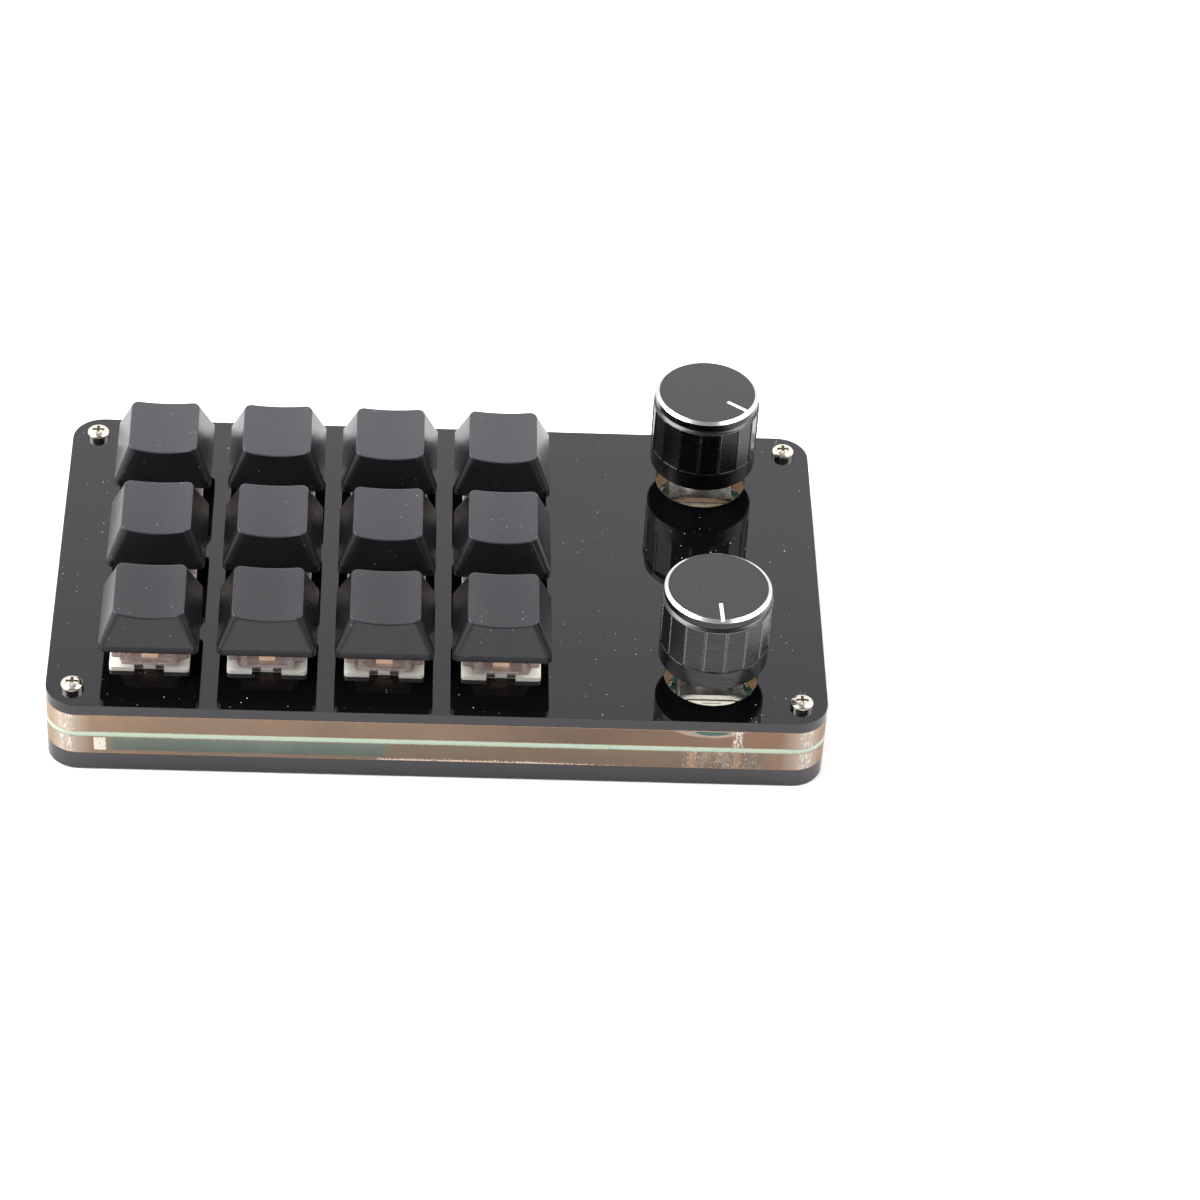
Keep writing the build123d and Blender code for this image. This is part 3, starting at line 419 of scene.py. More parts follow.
def makeClearAcrylic():
    made, tree, place = newMaterial("castAcrylicClear")
    x, y, z = addNode(tree, "SeparateXYZ", [place]).outputs
    foot, head = lowerClear[0] + clearAcrylic["foot"], lowerClear[1] + clearAcrylic["head"]
    start, end, soft = clearAcrylic["front"]
    front = between(tree, y, frontEdge + start, frontEdge + end, soft)
    isUpper = addNode(tree, "Math", [z, (lowerClear[1] + head) / 2], operation="GREATER_THAN")
    fine = addNode(tree, "VectorMath", [place, perMm(clearAcrylic["lines"])], operation="MULTIPLY")
    lines = addNode(tree, "TexNoise", {"Vector": fine, "Scale": 1.0, "Detail": 3.0})
    drift = addNode(tree, "TexNoise", {
        "Vector": place, "Scale": perMm(clearAcrylic["drift"]), "Detail": 5.0, "Roughness": 0.6})
    # where the board's green shows
    window = addNode(tree, "Math", [
        between(tree, x, *clearAcrylic["windowX"]),
        between(tree, z, foot, head, clearAcrylic["windowSoft"])], operation="MULTIPLY")
    arc = addNode(tree, "Math", [ovalReach(tree, x, z, clearAcrylic["arcSize"]), 1.0], operation="LESS_THAN")
    upperArc = addNode(tree, "Math", [arc, between(tree, z, head, *clearAcrylic["arcTop"])],
                       operation="MULTIPLY")
    cutAway = addNode(tree, "Math", [window, upperArc], operation="MAXIMUM")
    seen = addNode(tree, "Math", [cutAway, front], operation="MULTIPLY")
    brown, green = brownTone(tree, place, x, isUpper), greenTone(tree, z, drift, upperArc)
    tone = addNode(tree, "Mix", [seen, brown, green], data_type="RGBA")
    uneven = addNode(tree, "Mix", [clearAcrylic["grainShare"], lines, drift])
    shade = addNode(tree, "MapRange", [uneven, *noiseCore, *clearAcrylic["uneven"]])
    mottled = addNode(tree, "VectorMath", [tone, shade], operation="MULTIPLY")
    rub, lit = chipMarks(tree, place, x, z, isUpper, upperArc)
    pale = addNode(tree, "Mix", [lit, mottled, clearAcrylic["chip"]], data_type="RGBA")
    furry = fibreMarks(tree, place, x, z, front)
    coat = addNode(tree, "Mix", [furry, pale, clearAcrylic["fibre"]], data_type="RGBA")
    relief = addNode(tree, "Math", [lines, rub], operation="ADD")
    bump = addNode(tree, "Bump", {
        "Height": relief, "Distance": clearAcrylic["reliefDepth"], "Strength": clearAcrylic["relief"]})
    glass = addNode(tree, "BsdfPrincipled", {
        "Base Color": clearAcrylic["clear"], "Roughness": clearAcrylic["polish"], "IOR": clearAcrylic["ior"],
        "Transmission Weight": 1.0, "Normal": bump})
    # painted glow on the walls of the holes
    day, piped = paintedPipedGlow(tree, x, y, isUpper)
    frosted = addNode(tree, "BsdfPrincipled", {
        "Base Color": coat, "Roughness": clearAcrylic["matt"], "IOR": clearAcrylic["ior"], "Normal": bump,
        "Emission Color": day, "Emission Strength": piped})
    veil = addNode(tree, "Math", [upperArc, clearAcrylic["frost"]], operation="MAXIMUM")
    sides = addNode(tree, "MixShader", [veil, glass, frosted])
    # the level faces lie against the papers and take their look
    pulp = addNode(tree, "TexNoise", {
        "Vector": place, "Scale": perMm(clearAcrylic["pulp"]), "Detail": 5.0, "Roughness": 0.7})
    fibrous = addNode(tree, "ValToRGB", [pulp], zip(noiseCore, clearAcrylic["paper"]))
    paper = addNode(tree, "BsdfPrincipled", {"Base Color": fibrous, "Roughness": clearAcrylic["paperMatt"]})
    closeMaterial(tree, addNode(tree, "MixShader", [flatShare(tree), sides, paper]))
    return made


# Masking paper, brown kraft: matt, fibrous, uneven in tone
kraftPaper = {
    "tones": ("#7d5d40", "#a98561"), "fibre": (2.0, 0.5, 0.5), "matt": 0.88, "depth": 0.00005, "relief": 0.4,
}


def makeKraftPaper():
    made, tree, place = newMaterial("kraftPaper")
    drawn = addNode(tree, "VectorMath", [place, perMm(kraftPaper["fibre"])], operation="MULTIPLY")
    pulp = addNode(tree, "TexNoise", {"Vector": drawn, "Scale": 1.0, "Detail": 5.0, "Roughness": 0.7})
    tone = addNode(tree, "ValToRGB", [pulp], zip(noiseCore, kraftPaper["tones"]))
    bump = addNode(tree, "Bump", {
        "Height": pulp, "Distance": kraftPaper["depth"], "Strength": kraftPaper["relief"]})
    closeMaterial(tree, addNode(tree, "BsdfPrincipled", {
        "Base Color": tone, "Roughness": kraftPaper["matt"], "Normal": bump}))
    return made


# Circuit board, FR4 with green solder mask: glossy green faces with copper tracks under the mask, and a pale
# mint cut edge that shows the layers of glass cloth, a little uneven along it
circuitBoard = {
    "mask": "#3a9e8c", "track": "#62b8a6", "trackPitch": 1.27, "trackShare": 0.11, "trackLength": 7.0,
    "ior": 1.5, "rough": (0.6, 0.22),  # of the cut edge and the mask
    "faces": (0.0083, 0.0095), "weave": 0.8, "sway": (-0.15, 0.15),  # heights in metres, cloth in millimetres
    "layers": ((0.0, "#2d5a48"), (0.12, "#96a998"), (0.5, "#a6b6a6"), (0.88, "#a9b5a3"), (1.0, "#66927b")),
    "depth": 0.00003, "relief": 0.3,
}


def makeCircuitBoard():
    made, tree, place = newMaterial("solderMaskedBoard")
    tracks = addNode(tree, "TexBrick", {
        "Vector": place, "Scale": perMm(circuitBoard["trackPitch"] * 2), "Mortar Smooth": 0.05,
        "Mortar Size": circuitBoard["trackShare"], "Brick Width": circuitBoard["trackLength"],
        "Row Height": 1.0, "Color1": circuitBoard["mask"], "Color2": circuitBoard["mask"],
        "Mortar": circuitBoard["track"]})
    height = addNode(tree, "SeparateXYZ", [place]).outputs["Z"]
    weave = addNode(tree, "TexNoise", {"Vector": place, "Scale": perMm(circuitBoard["weave"]), "Detail": 3.0})
    deep = addNode(tree, "MapRange", [height, *circuitBoard["faces"]])
    sway = addNode(tree, "MapRange", [weave, 0.0, 1.0, *circuitBoard["sway"]])
    layer = addNode(tree, "Math", [deep, sway], operation="ADD")
    core = addNode(tree, "ValToRGB", [layer], circuitBoard["layers"])
    level = flatShare(tree)
    tone = addNode(tree, "Mix", [level, core, tracks], data_type="RGBA")
    rough = addNode(tree, "MapRange", [level, 0.0, 1.0, *circuitBoard["rough"]])
    bump = addNode(tree, "Bump", {
        "Height": tracks.outputs["Fac"], "Distance": circuitBoard["depth"],
        "Strength": circuitBoard["relief"]})
    closeMaterial(tree, addNode(tree, "BsdfPrincipled", {
        "Base Color": tone, "Roughness": rough, "IOR": circuitBoard["ior"], "Normal": bump}))
    return made


# Keycaps, moulded black ABS: satin, with the fine spark-eroded grain of the mould and a soft sheen at a low
# angle. Handling leaves broad patches a little glossier, and the dished tops carry a painted sheen, lighter
# grey from the front row to the back. The grain is coarser than the mould's, which would be too fine to show
mouldedAbs = {
    "black": ("#0f0f11", "#141417"), "paintedSheenGrey": ("#18181a", "#2b2b2e"),  # greyer from the front row to the back
    "ior": 1.54, "sheen": 0.38, "tint": (0.95, 0.94, 1.0, 1.0), "satin": (0.26, 0.33), "patch": 7,
    "grain": 0.22, "depth": 0.00002, "relief": 0.55, "bevel": 0.00026, "dusty": 0.5,
}


def makeMouldedAbs():
    made, tree, place = newMaterial("mouldedAbsBlack")
    patch = addNode(tree, "TexNoise", {"Vector": place, "Scale": perMm(mouldedAbs["patch"]), "Detail": 3.0})
    tone = addNode(tree, "ValToRGB", [patch], zip(noiseWide, mouldedAbs["black"]))
    satin = addNode(tree, "MapRange", [patch, *noiseWide, *mouldedAbs["satin"]])
    grain = addNode(tree, "TexNoise", {"Vector": place, "Scale": perMm(mouldedAbs["grain"]), "Detail": 2.0})
    bump = addNode(tree, "Bump", {
        "Height": grain, "Distance": mouldedAbs["depth"], "Strength": mouldedAbs["relief"],
        "Normal": addNode(tree, "Bevel", {"Radius": mouldedAbs["bevel"]}, samples=bevelRays)})
    along = addNode(tree, "SeparateXYZ", [place]).outputs["Y"]
    # painted sheen: level faces are painted lighter grey from the front row to the back
    growing = addNode(tree, "MapRange", [along, rows[-1], rows[0]])
    paintedSheenGrey = addNode(tree, "ValToRGB", [growing], zip((0.0, 1.0), mouldedAbs["paintedSheenGrey"]))
    toneWithPaintedSheen = addNode(tree, "Mix", [flatShare(tree), tone, paintedSheenGrey], data_type="RGBA")
    settled = addNode(tree, "Math", [dustShare(tree, place), mouldedAbs["dusty"]], operation="MULTIPLY")
    tint = addNode(tree, "Mix", [settled, toneWithPaintedSheen, dust["pale"]], data_type="RGBA")
    closeMaterial(tree, addNode(tree, "BsdfPrincipled", {
        "Base Color": tint, "Roughness": satin, "IOR": mouldedAbs["ior"], "Normal": bump,
        "Specular IOR Level": mouldedAbs["sheen"], "Specular Tint": mouldedAbs["tint"]}))
    return made


# The painted glow of stems and cover walls, standing in for daylight caught under the caps, fades between
# these heights, in metres
caughtLight = (0.0176, 0.0190)


def keyBand(tree, x, half):
    # 1 in one upright band in the middle of each column of keys
    middle, pitch = keyGrid["x"], keyGrid["pitchX"]
    offset = addNode(tree, "Math", [x, middle + pitch / 2, middle - pitch / 2], operation="WRAP")
    return addNode(tree, "Math", [offset, middle, half], operation="COMPARE")


# Plain moulded plastics: two tones, a roughness range and a fine bump each
mouldedPlastics = {
    # nylon housing of a key switch, cream white, smooth
    "mouldedNylonCream": {
        "tones": ("#ebe7dc", "#f7f4ea"), "ior": 1.53, "satin": (0.28, 0.40), "grain": 0.6, "waxy": 0.12},
    # acetal stem, orange brown, slippery and slightly waxy; its rib carries a painted glow, standing in for
    # the light that the cover lets in
    "mouldedAcetalBrown": {
        "tones": ("#d98f57", "#eaa873"), "ior": 1.48, "satin": (0.25, 0.35), "grain": 0.7, "waxy": 0.10,
        "paintedGlow": ("#f0bf95", 0.35, 0.0014)},  # colour, strength and half of the rib's width
    # glass-filled encoder body, black and matt
    "glassFilledPlasticBlack": {
        "tones": ("#161616", "#242424"), "ior": 1.55, "satin": (0.5, 0.65), "grain": 0.3, "waxy": 0.0},
    # rotor, natural white acetal
    "mouldedAcetalWhite": {
        "tones": ("#dcd9d0", "#efece4"), "ior": 1.48, "satin": (0.3, 0.4), "grain": 0.7, "waxy": 0.10},
    # epoxy packages of the chip and the diodes, black with a matt moulded face
    "mouldedEpoxyBlack": {
        "tones": ("#111112", "#1e1e20"), "ior": 1.55, "satin": (0.45, 0.6), "grain": 0.25, "waxy": 0.0},
}
# What they share: flow lines in millimetres, the bump's depth and the wax's in metres
moulding = {"flow": 3.5, "depth": 0.00002, "relief": 0.3, "waxColour": (1.0, 0.8, 0.6), "waxDepth": 0.0008}


def makeMouldedPlastic(name):
    look = mouldedPlastics[name]
    made, tree, place = newMaterial(name)
    flow = addNode(tree, "TexNoise", {"Vector": place, "Scale": perMm(moulding["flow"]), "Detail": 3.0})
    tone = addNode(tree, "ValToRGB", [flow], zip(noiseCore, look["tones"]))
    satin = addNode(tree, "MapRange", [flow, *noiseWide, *look["satin"]])
    grain = addNode(tree, "TexNoise", {"Vector": place, "Scale": perMm(look["grain"])})
    bump = addNode(tree, "Bump", {
        "Height": grain, "Distance": moulding["depth"], "Strength": moulding["relief"]})
    light = {}
    # painted glow on the stem's rib
    if "paintedGlow" in look:
        colour, strength, half = look["paintedGlow"]
        axes = addNode(tree, "SeparateXYZ", [place])
        band = keyBand(tree, axes.outputs["X"], half)
        fade = addNode(tree, "MapRange", [axes.outputs["Z"], *caughtLight, strength, 0.0])
        lit = addNode(tree, "Math", [band, fade], operation="MULTIPLY")
        light = {"Emission Color": colour, "Emission Strength": lit}
    closeMaterial(tree, addNode(tree, "BsdfPrincipled", {
        "Base Color": tone, "Roughness": satin, "IOR": look["ior"], "Normal": bump,
        "Subsurface Weight": look["waxy"], "Subsurface Radius": moulding["waxColour"],
        "Subsurface Scale": moulding["waxDepth"], **light}))
    return made


# Switch covers, moulded polycarbonate: clear with a smoky brown tint, polished, slight flow lines. A painted
# glow in the walls stands in for daylight that the upper edges catch. Heights are in metres
smokyPolycarbonate = {
    "tint": ("#eadcd8", "#f4e9e6"), "ior": 1.58, "gloss": (0.02, 0.07), "straight": 0.90,
    "haze": ("#cdb8b2", "#e8dad6"), "hazeShare": 0.14, "hazeBack": 0.5,
    "flow": 2.5, "depth": 0.00002, "relief": 0.2,
    "tabs": (0.0169, 0.0175), "tabShade": 0.55,
    # the painted glow of the walls, then the painted glow in the stems' colour
    "piped": ("#ffeee9", 0.066), "pipedRange": (0.6, 1.3), "pipedAbove": 0.2,
    "stemGlow": ("#f2cba6", 0.36), "carriedRise": (0.0177, 0.0180), "carriedFade": (0.0190, 0.0204),
    "bandHalf": 0.0016, "frontWall": 0.0045,  # the wall stands more than this before a key's middle
}


def smokyBody(tree, flow, bump, shade):
    # the walls are thin, so most of the light goes straight on, and a little is scattered in them
    tone = addNode(tree, "ValToRGB", [flow], zip(noiseCore, smokyPolycarbonate["tint"]))
    tinted = addNode(tree, "VectorMath", [tone, shade], operation="MULTIPLY")
    gloss = addNode(tree, "MapRange", [flow, *noiseWide, *smokyPolycarbonate["gloss"]])
    clear = addNode(tree, "BsdfPrincipled", {
        "Base Color": tinted, "Roughness": gloss, "IOR": smokyPolycarbonate["ior"],
        "Transmission Weight": 1.0, "Normal": bump})
    straight = addNode(tree, "BsdfTransparent", [tinted])
    shine = addNode(tree, "BsdfGlossy", {"Roughness": gloss, "Normal": bump})
    facing = addNode(tree, "Fresnel", {"IOR": smokyPolycarbonate["ior"], "Normal": bump})
    thin = addNode(tree, "MixShader", [facing, straight, shine])
    body = addNode(tree, "MixShader", [smokyPolycarbonate["straight"], clear, thin])
    smoke = addNode(tree, "ValToRGB", [flow], zip(noiseCore, smokyPolycarbonate["haze"]))
    smoky = addNode(tree, "VectorMath", [smoke, shade], operation="MULTIPLY")
    milk = addNode(tree, "BsdfTranslucent", {"Color": smoky, "Normal": bump})
    matt = addNode(tree, "BsdfDiffuse", {"Color": smoky, "Normal": bump})
    haze = addNode(tree, "MixShader", [smokyPolycarbonate["hazeBack"], milk, matt])
    return addNode(tree, "MixShader", [smokyPolycarbonate["hazeShare"], body, haze])


def paintedWallGlow(tree, z, flow):
    # painted glow: strongest low in the walls, and none in the tabs
    colour, strength = smokyPolycarbonate["piped"]
    piped = addNode(tree, "MapRange", [
        flow, *noiseCore, *(strength * share for share in smokyPolycarbonate["pipedRange"])])
    fade = addNode(tree, "MapRange", [z, *caughtLight, 1.0, smokyPolycarbonate["pipedAbove"]])
    faded = addNode(tree, "Math", [piped, fade], operation="MULTIPLY")
    aboveTabs = addNode(tree, "MapRange", [z, *smokyPolycarbonate["tabs"]])
    spread = addNode(tree, "Math", [faded, aboveTabs], operation="MULTIPLY")
    return addNode(tree, "Emission", [colour, spread])


def paintedStemGlow(tree, x, y, z):
    # painted glow: the front wall is given an emitted band in the stem's colour before every stem, standing
    # in for the stem seen through it
    middle, pitch = keyGrid["y"], keyGrid["pitchY"]
    along = addNode(tree, "Math", [y, middle + pitch / 2, middle - pitch / 2], operation="WRAP")
    ahead = addNode(tree, "Math", [along, middle - smokyPolycarbonate["frontWall"]], operation="LESS_THAN")
    band = keyBand(tree, x, smokyPolycarbonate["bandHalf"])
    shown = addNode(tree, "Math", [band, ahead], operation="MULTIPLY")
    colour, strength = smokyPolycarbonate["stemGlow"]
    rise = addNode(tree, "MapRange", [z, *smokyPolycarbonate["carriedRise"], 0.0, strength])
    drop = addNode(tree, "MapRange", [z, *smokyPolycarbonate["carriedFade"], 1.0, 0.0])
    risen = addNode(tree, "Math", [rise, drop], operation="MULTIPLY")
    return addNode(tree, "Emission", [colour, addNode(tree, "Math", [risen, shown], operation="MULTIPLY")])


def makeSmokyPolycarbonate():
    made, tree, place = newMaterial("mouldedPolycarbonateSmoky")
    flow = addNode(tree, "TexNoise", {
        "Vector": place, "Scale": perMm(smokyPolycarbonate["flow"]), "Detail": 2.0})
    bump = addNode(tree, "Bump", {
        "Height": flow, "Distance": smokyPolycarbonate["depth"], "Strength": smokyPolycarbonate["relief"]})
    x, y, z = addNode(tree, "SeparateXYZ", [place]).outputs
    # the tabs in the housing's notches look darker, as nothing behind them is lit
    shade = addNode(tree, "MapRange", [z, *smokyPolycarbonate["tabs"], smokyPolycarbonate["tabShade"], 1.0])
    lit = addNode(tree, "AddShader", [smokyBody(tree, flow, bump, shade), paintedWallGlow(tree, z, flow)])
    closeMaterial(tree, addNode(tree, "AddShader", [lit, paintedStemGlow(tree, x, y, z)]))
    return made


# Plain metals: colour range, roughness range, and size and strength of the marks of the tool or the plating
workedMetals = {
    # plated steel screw: warm silver, bright, slightly orange-peeled
    "nickelPlatedSteel": {"tones": ("#aea799", "#ccc6ba"), "gloss": (0.12, 0.26), "marks": (0.5, 0.4)},
    # tinned bracket of the encoder: pale silver, rolled and stamped
    "tinnedSteel": {"tones": ("#b9b6ae", "#d0cdc5"), "gloss": (0.26, 0.36), "marks": (1.1, 0.05)},
    # front plate of the encoder: pressed steel, dull tinned
    "pressedTinPlate": {"tones": ("#d3cdc1", "#e6e1d6"), "gloss": (0.4, 0.5), "marks": (1.1, 0.05)},
    # solder: bright, rounded
    "softSolder": {"tones": ("#dedede", "#f0f0ee"), "gloss": (0.16, 0.28), "marks": (0.6, 0.2)},
    # turned brass insert: yellow, satin
    "turnedBrass": {"tones": ("#b08d4a", "#cfae6a"), "gloss": (0.25, 0.4), "marks": (0.3, 0.35)},
    # contact leaves and pins: tin over bronze
    "tinnedBronze": {"tones": ("#b9a58c", "#d0c4b4"), "gloss": (0.25, 0.4), "marks": (0.4, 0.25)},
    # shaft: bare turned aluminium
    "turnedAluminium": {"tones": ("#c9cacc", "#e0e1e3"), "gloss": (0.22, 0.36), "marks": (0.25, 0.35)},
    # spring wire: bright drawn steel
    "drawnSpringSteel": {"tones": ("#a9a9ab", "#cbcbcd"), "gloss": (0.18, 0.3), "marks": (0.2, 0.25)},
    # set screw: blackened alloy steel
    "blackOxideSteel": {"tones": ("#232325", "#3a3a3d"), "gloss": (0.35, 0.5), "marks": (0.3, 0.3)},
    # socket shell: drawn and plated steel
    "platedSocketSteel": {"tones": ("#b4b3b0", "#d2d1ce"), "gloss": (0.18, 0.32), "marks": (0.4, 0.25)},
}
markDepth = 0.00002  # metres


def makeWorkedMetal(name):
    look = workedMetals[name]
    made, tree, place = newMaterial(name)
    size, relief = look["marks"]
    marks = addNode(tree, "TexNoise", {"Vector": place, "Scale": perMm(size), "Detail": 4.0})
    tone = addNode(tree, "ValToRGB", [marks], zip(noiseCore, look["tones"]))
    gloss = addNode(tree, "MapRange", [marks, *noiseWide, *look["gloss"]])
    bump = addNode(tree, "Bump", {"Height": marks, "Distance": markDepth, "Strength": relief})
    closeMaterial(tree, addNode(tree, "BsdfPrincipled", {
        "Base Color": tone, "Metallic": 1.0, "Roughness": gloss, "Normal": bump}))
    return made


# Knobs, turned aluminium anodised black: spun rings on top, diamond-cut bright ring, silver pointer, milled
# flats. Lengths are in metres, and the sizes of patterns in millimetres
anodisedKnob = {
    "black": ("#303032", "#3a3a3c"), "spun": ("#3b3a3b", "#434243"), "satin": (0.22, 0.30), "bevel": 0.00018,
    "ringPitch": 0.24, "millLine": (5, 5, 0.30), "depth": 0.000012, "relief": 0.5,
    "bare": ("#a09f9f", "#c6c4c2"), "cutGloss": 0.20, "ringInner": 0.00975, "ringBase": 0.03843,
    # share and edge lean of the painted highlight on the edges of the flats
    "edgeGlint": 0.24, "edgeGlintLean": (0.9985, 0.9925), "grip": (0.0262, 0.0365),
    "pointer": ("#dedfdc", "#e9e9e6"), "paintGloss": 0.35,
    "pointerHalf": 0.00036, "pointerStart": 0.005, "pointerDepth": 0.00025,
    "pointerTurn": {"back": -36.5, "front": -87.3},  # degrees from the X axis
}


def paintedEdgeGlint(tree, rounded, z):
    # painted highlight: the sharp edges between the flats are painted in bare metal's colour, standing in for
    # the glints along them
    face = addNode(tree, "NewGeometry")
    lean = addNode(tree, "VectorMath", [rounded, face.outputs["True Normal"]], operation="DOT_PRODUCT")
    sharp = addNode(tree, "MapRange", [lean, *anodisedKnob["edgeGlintLean"], 0.0, anodisedKnob["edgeGlint"]])
    above = addNode(tree, "Math", [z, anodisedKnob["grip"][0]], operation="GREATER_THAN")
    below = addNode(tree, "Math", [z, anodisedKnob["grip"][1]], operation="LESS_THAN")
    gripped = addNode(tree, "Math", [above, below], operation="MULTIPLY")
    return addNode(tree, "Math", [sharp, gripped], operation="MULTIPLY")


def pointerShare(tree, x, y, z):
    aside = addNode(tree, "Math", [y], operation="ABSOLUTE")
    narrow = addNode(tree, "Math", [aside, anodisedKnob["pointerHalf"]], operation="LESS_THAN")
    beyond = addNode(tree, "Math", [x, anodisedKnob["pointerStart"]], operation="GREATER_THAN")
    raised = addNode(tree, "Math", [z, top - anodisedKnob["pointerDepth"]], operation="GREATER_THAN")
    inside = addNode(tree, "Math", [narrow, beyond], operation="MULTIPLY")
    return addNode(tree, "Math", [inside, raised], operation="MULTIPLY")


def makeAnodisedAluminium(side):
    made, tree, place = newMaterial("anodisedAluminium" + side.capitalize())
    # place from the knob's own axis, with X along its pointer
    turn = math.radians(anodisedKnob["pointerTurn"][side])
    own = addNode(tree, "Mapping", {
        "Vector": place, "Location": (*knobPlaces[side], 0), "Rotation": (0, 0, turn)}, vector_type="TEXTURE")
    x, y, z = addNode(tree, "SeparateXYZ", [own]).outputs
    flat = addNode(tree, "VectorMath", [own, (1, 1, 0)], operation="MULTIPLY")
    radius = addNode(tree, "VectorMath", [flat], operation="LENGTH")
    level = flatShare(tree)
    # spun rings: the tool's feed, drawn coarser than it is so that it shows
    turned = addNode(tree, "CombineXYZ", [radius])
    feed = addNode(tree, "TexNoise", {
        "Vector": turned, "Scale": perMm(anodisedKnob["ringPitch"]), "Detail": 3.0})
    onTop = addNode(tree, "Math", [feed, level], operation="MULTIPLY")
    # milled flats: short level cutter lines, different on each flat
    mill = addNode(tree, "VectorMath", [own, perMm(anodisedKnob["millLine"])], operation="MULTIPLY")
    cutter = addNode(tree, "TexNoise", {"Vector": mill, "Scale": 1.0, "Detail": 3.0})
    upright = addNode(tree, "Math", [1.0, level], operation="SUBTRACT")
    onSide = addNode(tree, "Math", [cutter, upright], operation="MULTIPLY")
    relief = addNode(tree, "Math", [onTop, onSide], operation="ADD")
    rounded = addNode(tree, "Bevel", {"Radius": anodisedKnob["bevel"]}, samples=bevelRays)
    bump = addNode(tree, "Bump", {
        "Height": relief, "Distance": anodisedKnob["depth"], "Strength": anodisedKnob["relief"],
        "Normal": rounded})
    black, spun = (addNode(tree, "ValToRGB", [relief], zip(noiseCore, anodisedKnob[part]))
                   for part in ("black", "spun"))
    tone = addNode(tree, "Mix", [level, black, spun], data_type="RGBA")
    # painted highlight along the edges of the flats
    toneWithEdgeGlint = addNode(tree, "Mix", [paintedEdgeGlint(tree, rounded, z), tone, anodisedKnob["bare"][1]],
                   data_type="RGBA")
    satin = addNode(tree, "MapRange", [relief, *noiseWide, *anodisedKnob["satin"]])
    dyed = addNode(tree, "BsdfPrincipled", {
        "Base Color": toneWithEdgeGlint, "Metallic": 1.0, "Roughness": satin, "Normal": bump})
    # where the tool cut through to bare metal: the bright ring
    high = addNode(tree, "Math", [z, anodisedKnob["ringBase"]], operation="GREATER_THAN")
    wide = addNode(tree, "Math", [radius, anodisedKnob["ringInner"]], operation="GREATER_THAN")
    ring = addNode(tree, "Math", [high, wide], operation="MULTIPLY")
    bareTone = addNode(tree, "ValToRGB", [feed], zip(noiseWide, anodisedKnob["bare"]))
    bare = addNode(tree, "BsdfPrincipled", {
        "Base Color": bareTone, "Metallic": 1.0, "Roughness": anodisedKnob["cutGloss"]})
    ringed = addNode(tree, "MixShader", [ring, dyed, bare])
    # the pointer's groove is filled with silver-white paint
    paintTone = addNode(tree, "ValToRGB", [feed], zip(noiseWide, anodisedKnob["pointer"]))
    paint = addNode(tree, "BsdfPrincipled", {
        "Base Color": paintTone, "Roughness": anodisedKnob["paintGloss"]})
    closeMaterial(tree, addNode(tree, "MixShader", [pointerShare(tree, x, y, z), ringed, paint]))
    return made


# What each CAD piece is finished in, by the start of its name; the knobs have a finish each
finishes = {
    "bottom_plate": makeBlackAcrylic, "top_plate": makeBlackAcrylic,
    "lower_spacer": makeClearAcrylic, "upper_spacer": makeClearAcrylic,
    "spacer_papers": makeKraftPaper, "circuit_board": makeCircuitBoard,
    "keycap_": makeMouldedAbs, "switch_covers": makeSmokyPolycarbonate,
    "switch_bases": "mouldedNylonCream", "key_stem_": "mouldedAcetalBrown",
    "encoder_bodies": "glassFilledPlasticBlack", "encoder_rotor_": "mouldedAcetalWhite",
    "board_components": "mouldedEpoxyBlack", "corner_screws": "nickelPlatedSteel",
    "encoder_brackets": "tinnedSteel", "threaded_inserts": "turnedBrass", "switch_contacts": "tinnedBronze",
    "encoder_terminals": "tinnedBronze", "encoder_shaft_": "turnedAluminium",
    "knob_set_screw_": "blackOxideSteel", "usb_socket": "platedSocketSteel",
    "key_spring_": "drawnSpringSteel",
}


def makeFinish(finish):
    if callable(finish):
        return finish()
    return makeWorkedMetal(finish) if finish in workedMetals else makeMouldedPlastic(finish)


def dress():
    ready = {}
    for name, node in sorted(nodes.items()):
        if name in ("knob_back", "knob_front"):
            made = makeAnodisedAluminium(name[len("knob_"):])
        else:
            finish = next(finish for start, finish in finishes.items() if name.startswith(start))
            if finish not in ready:
                ready[finish] = makeFinish(finish)
            made = ready[finish]
        if not node.material_slots:
            node.data.materials.append(made)
        for slot in node.material_slots:
            slot.material = made


dress()
print("CAD pieces finished")

# Coil springs of the keys, drawn steel wire with closed ends
keySpring = {
    "coil": 0.0021, "wire": 0.000175, "low": 0.012875, "high": 0.020525, "turns": 7.0, "closed": 1.0,
    "steps": 22, "sides": 8, "foot": 0.0127, "keep": 0.5,
}


def springRise(t):
    # share of the spring's height at this share of its length, with a closed turn at each end
    share = keySpring["closed"] / keySpring["turns"]
    shut = 2 * keySpring["wire"] / (keySpring["high"] - keySpring["low"])
    if t < share:
        return t / share * shut
    if t > 1 - share:
        return 1 - (1 - t) / share * shut
    return shut + (t - share) / (1 - 2 * share) * (1 - 2 * shut)


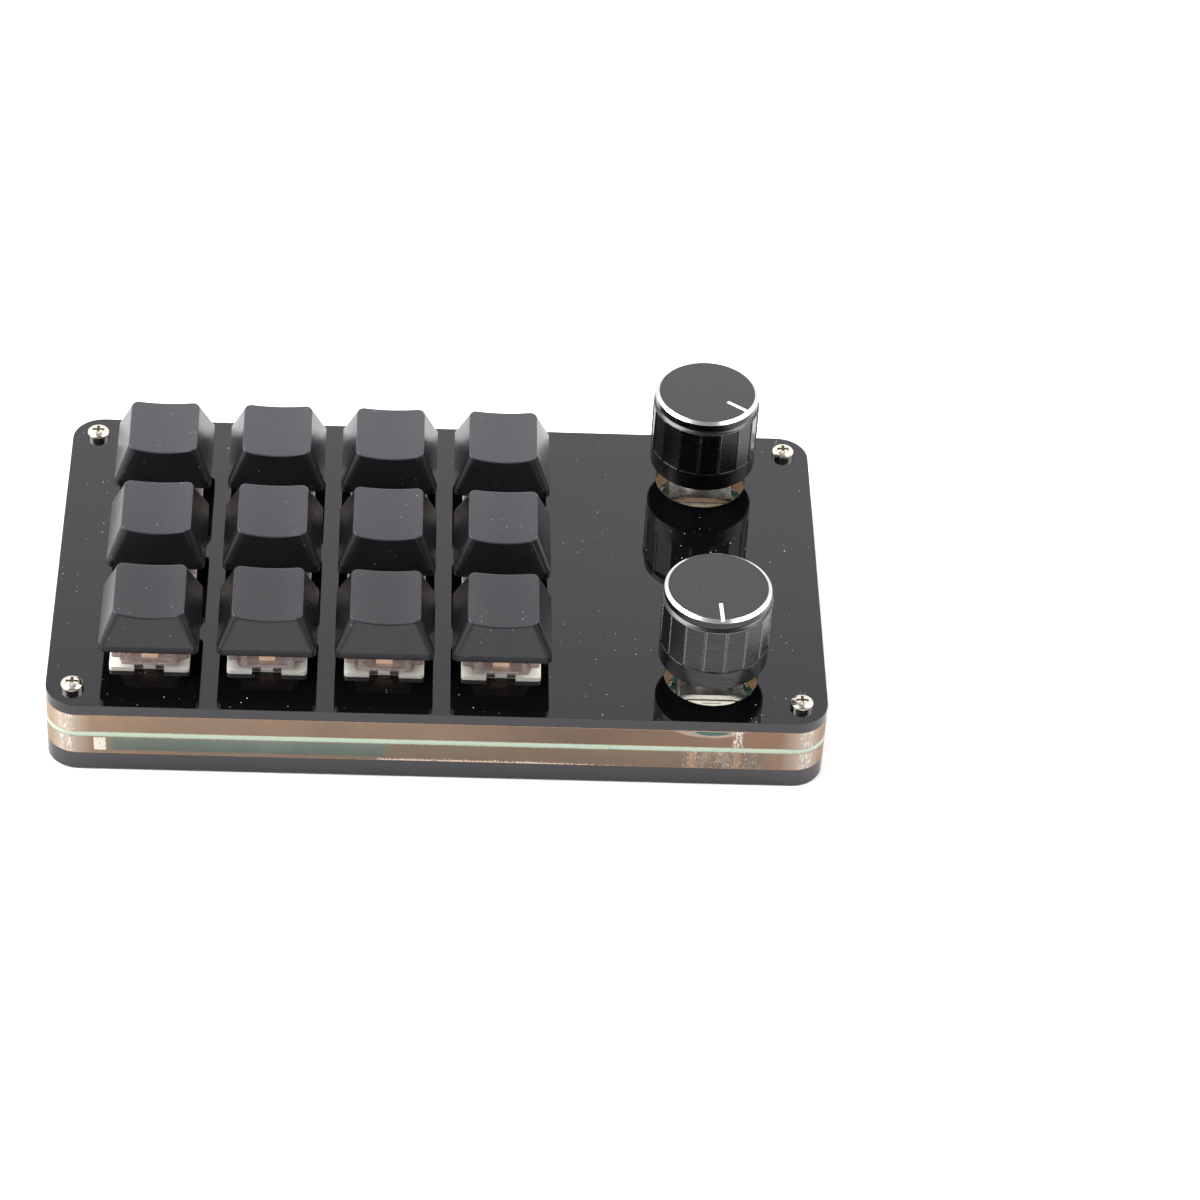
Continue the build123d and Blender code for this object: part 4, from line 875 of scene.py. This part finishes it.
def makeKeySpring(number, x, y, finish):
    last = int(keySpring["turns"] * keySpring["steps"])
    lift = keySpring["high"] - keySpring["low"]
    points = []
    for step in range(last + 1):
        turn = 2 * math.pi * keySpring["turns"] * step / last
        points.append(mathutils.Vector((
            x + keySpring["coil"] * math.cos(turn), y + keySpring["coil"] * math.sin(turn),
            keySpring["low"] + lift * springRise(step / last))))
    sides, rim, faces = keySpring["sides"], [], []
    for step, point in enumerate(points):
        ahead = (points[min(step + 1, last)] - points[max(step - 1, 0)]).normalized()
        out = mathutils.Vector((point.x - x, point.y - y, 0)).normalized()
        side = ahead.cross(out).normalized()
        out = side.cross(ahead)
        for k in range(sides):
            around = 2 * math.pi * k / sides
            rim.append(point + keySpring["wire"] * (out * math.cos(around) + side * math.sin(around)))
        if step:
            start = (step - 1) * sides
            for k in range(sides):
                after = (k + 1) % sides
                faces.append((start + k, start + after, start + sides + after, start + sides + k))
    faces.append(tuple(range(sides))[::-1])
    faces.append(tuple(last * sides + k for k in range(sides)))
    name = f"wireSpring{number}"
    mesh = bpy.data.meshes.new(name)
    mesh.from_pydata(rim, [], faces)
    mesh.shade_smooth()
    mesh.materials.append(finish)
    coil = bpy.data.objects.new(name, mesh)
    scene.collection.objects.link(coil)
    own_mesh(coil)
    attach(coil, "chassis")
    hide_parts(f"key_spring_{number}")


for number, (x, y) in enumerate([(x, y) for y in rows for x in columns], 1):
    makeKeySpring(number, x, y, bpy.data.materials["drawnSpringSteel"])
print("springs wound")

# Front plates of the encoders: folded sheet with a raised panel, and solder on the board beside them
encoderFront = {
    "half": 0.0046, "low": 0.0102, "high": 0.0147, "face": -0.0060, "gap": 0.00004, "sheet": 0.00022,
    "panel": (0.0018, 0.0005), "panelRise": 0.00015, "panelAt": 0.0136,
    "pads": ((-0.0075, 0.0044), (-0.0069, 0.0018), (0.0069, 0.0020), (0.0078, 0.0046)),
    "padHalf": (0.00080, 0.00065), "padSides": 12, "padGap": 0.00002, "boardTop": 0.0095, "solder": 0.00035,
    "padRings": ((1.0, 0.0), (0.92, 0.45), (0.65, 0.85), (0.0, 1.0)),  # share of the width and of the height
}


def addMesh(name, corners, faces, finish):
    mesh = bpy.data.meshes.new(name)
    mesh.from_pydata(corners, [], faces)
    mesh.materials.append(finish)
    piece = bpy.data.objects.new(name, mesh)
    scene.collection.objects.link(piece)
    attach(piece, "chassis")
    return piece


def bandFaces(start, sides):
    # the faces between a ring of corners and the next one
    return [(start + k, start + (k + 1) % sides, start + sides + (k + 1) % sides, start + sides + k)
            for k in range(sides)]


def makeEncoderFront(number, x, y, finish):
    # a closed sheet whose outer face carries a bevelled panel
    half, low, high = encoderFront["half"], encoderFront["low"], encoderFront["high"]
    back = y + encoderFront["face"] - encoderFront["gap"]
    ahead = back - encoderFront["sheet"]
    wide, tall = encoderFront["panel"]
    middle, rise = encoderFront["panelAt"], encoderFront["panelRise"]
    loops = [
        (back, half, low, high), (ahead, half, low, high),
        (ahead, wide + rise, middle - tall - rise, middle + tall + rise),
        (ahead - rise, wide, middle - tall, middle + tall),
    ]
    corners, faces = [], []
    for depth, reach, foot, head in loops:
        corners += [(x - reach, depth, foot), (x + reach, depth, foot)]
        corners += [(x + reach, depth, head), (x - reach, depth, head)]
    for ring in range(len(loops) - 1):
        faces += bandFaces(ring * 4, 4)
    faces += [(3, 2, 1, 0), range(len(corners) - 4, len(corners))]
    addMesh(f"encoderFront{number}", corners, faces, finish)


def makeSolderPads(number, x, y, finish):
    # low domes of solder, one on each pad
    corners, faces = [], []
    wide, deep = encoderFront["padHalf"]
    sides = encoderFront["padSides"]
    foot = encoderFront["boardTop"] + encoderFront["padGap"]
    rings = encoderFront["padRings"]
    for dx, dy in encoderFront["pads"]:
        start = len(corners)
        for share, lift in rings:
            for k in range(sides):
                around = 2 * math.pi * k / sides
                corners.append((
                    x + dx + wide * share * math.cos(around), y + dy + deep * share * math.sin(around),
                    foot + encoderFront["solder"] * lift))
        for ring in range(len(rings) - 1):
            faces += bandFaces(start + ring * sides, sides)
    addMesh(f"solderPads{number}", corners, faces, finish).data.shade_smooth()


pressed, solder = makeWorkedMetal("pressedTinPlate"), makeWorkedMetal("softSolder")
for number, (x, y) in enumerate(knobPlaces.values(), 1):
    makeEncoderFront(number, x, y, pressed)
    makeSolderPads(number, x, y, solder)
print("encoder fronts placed")
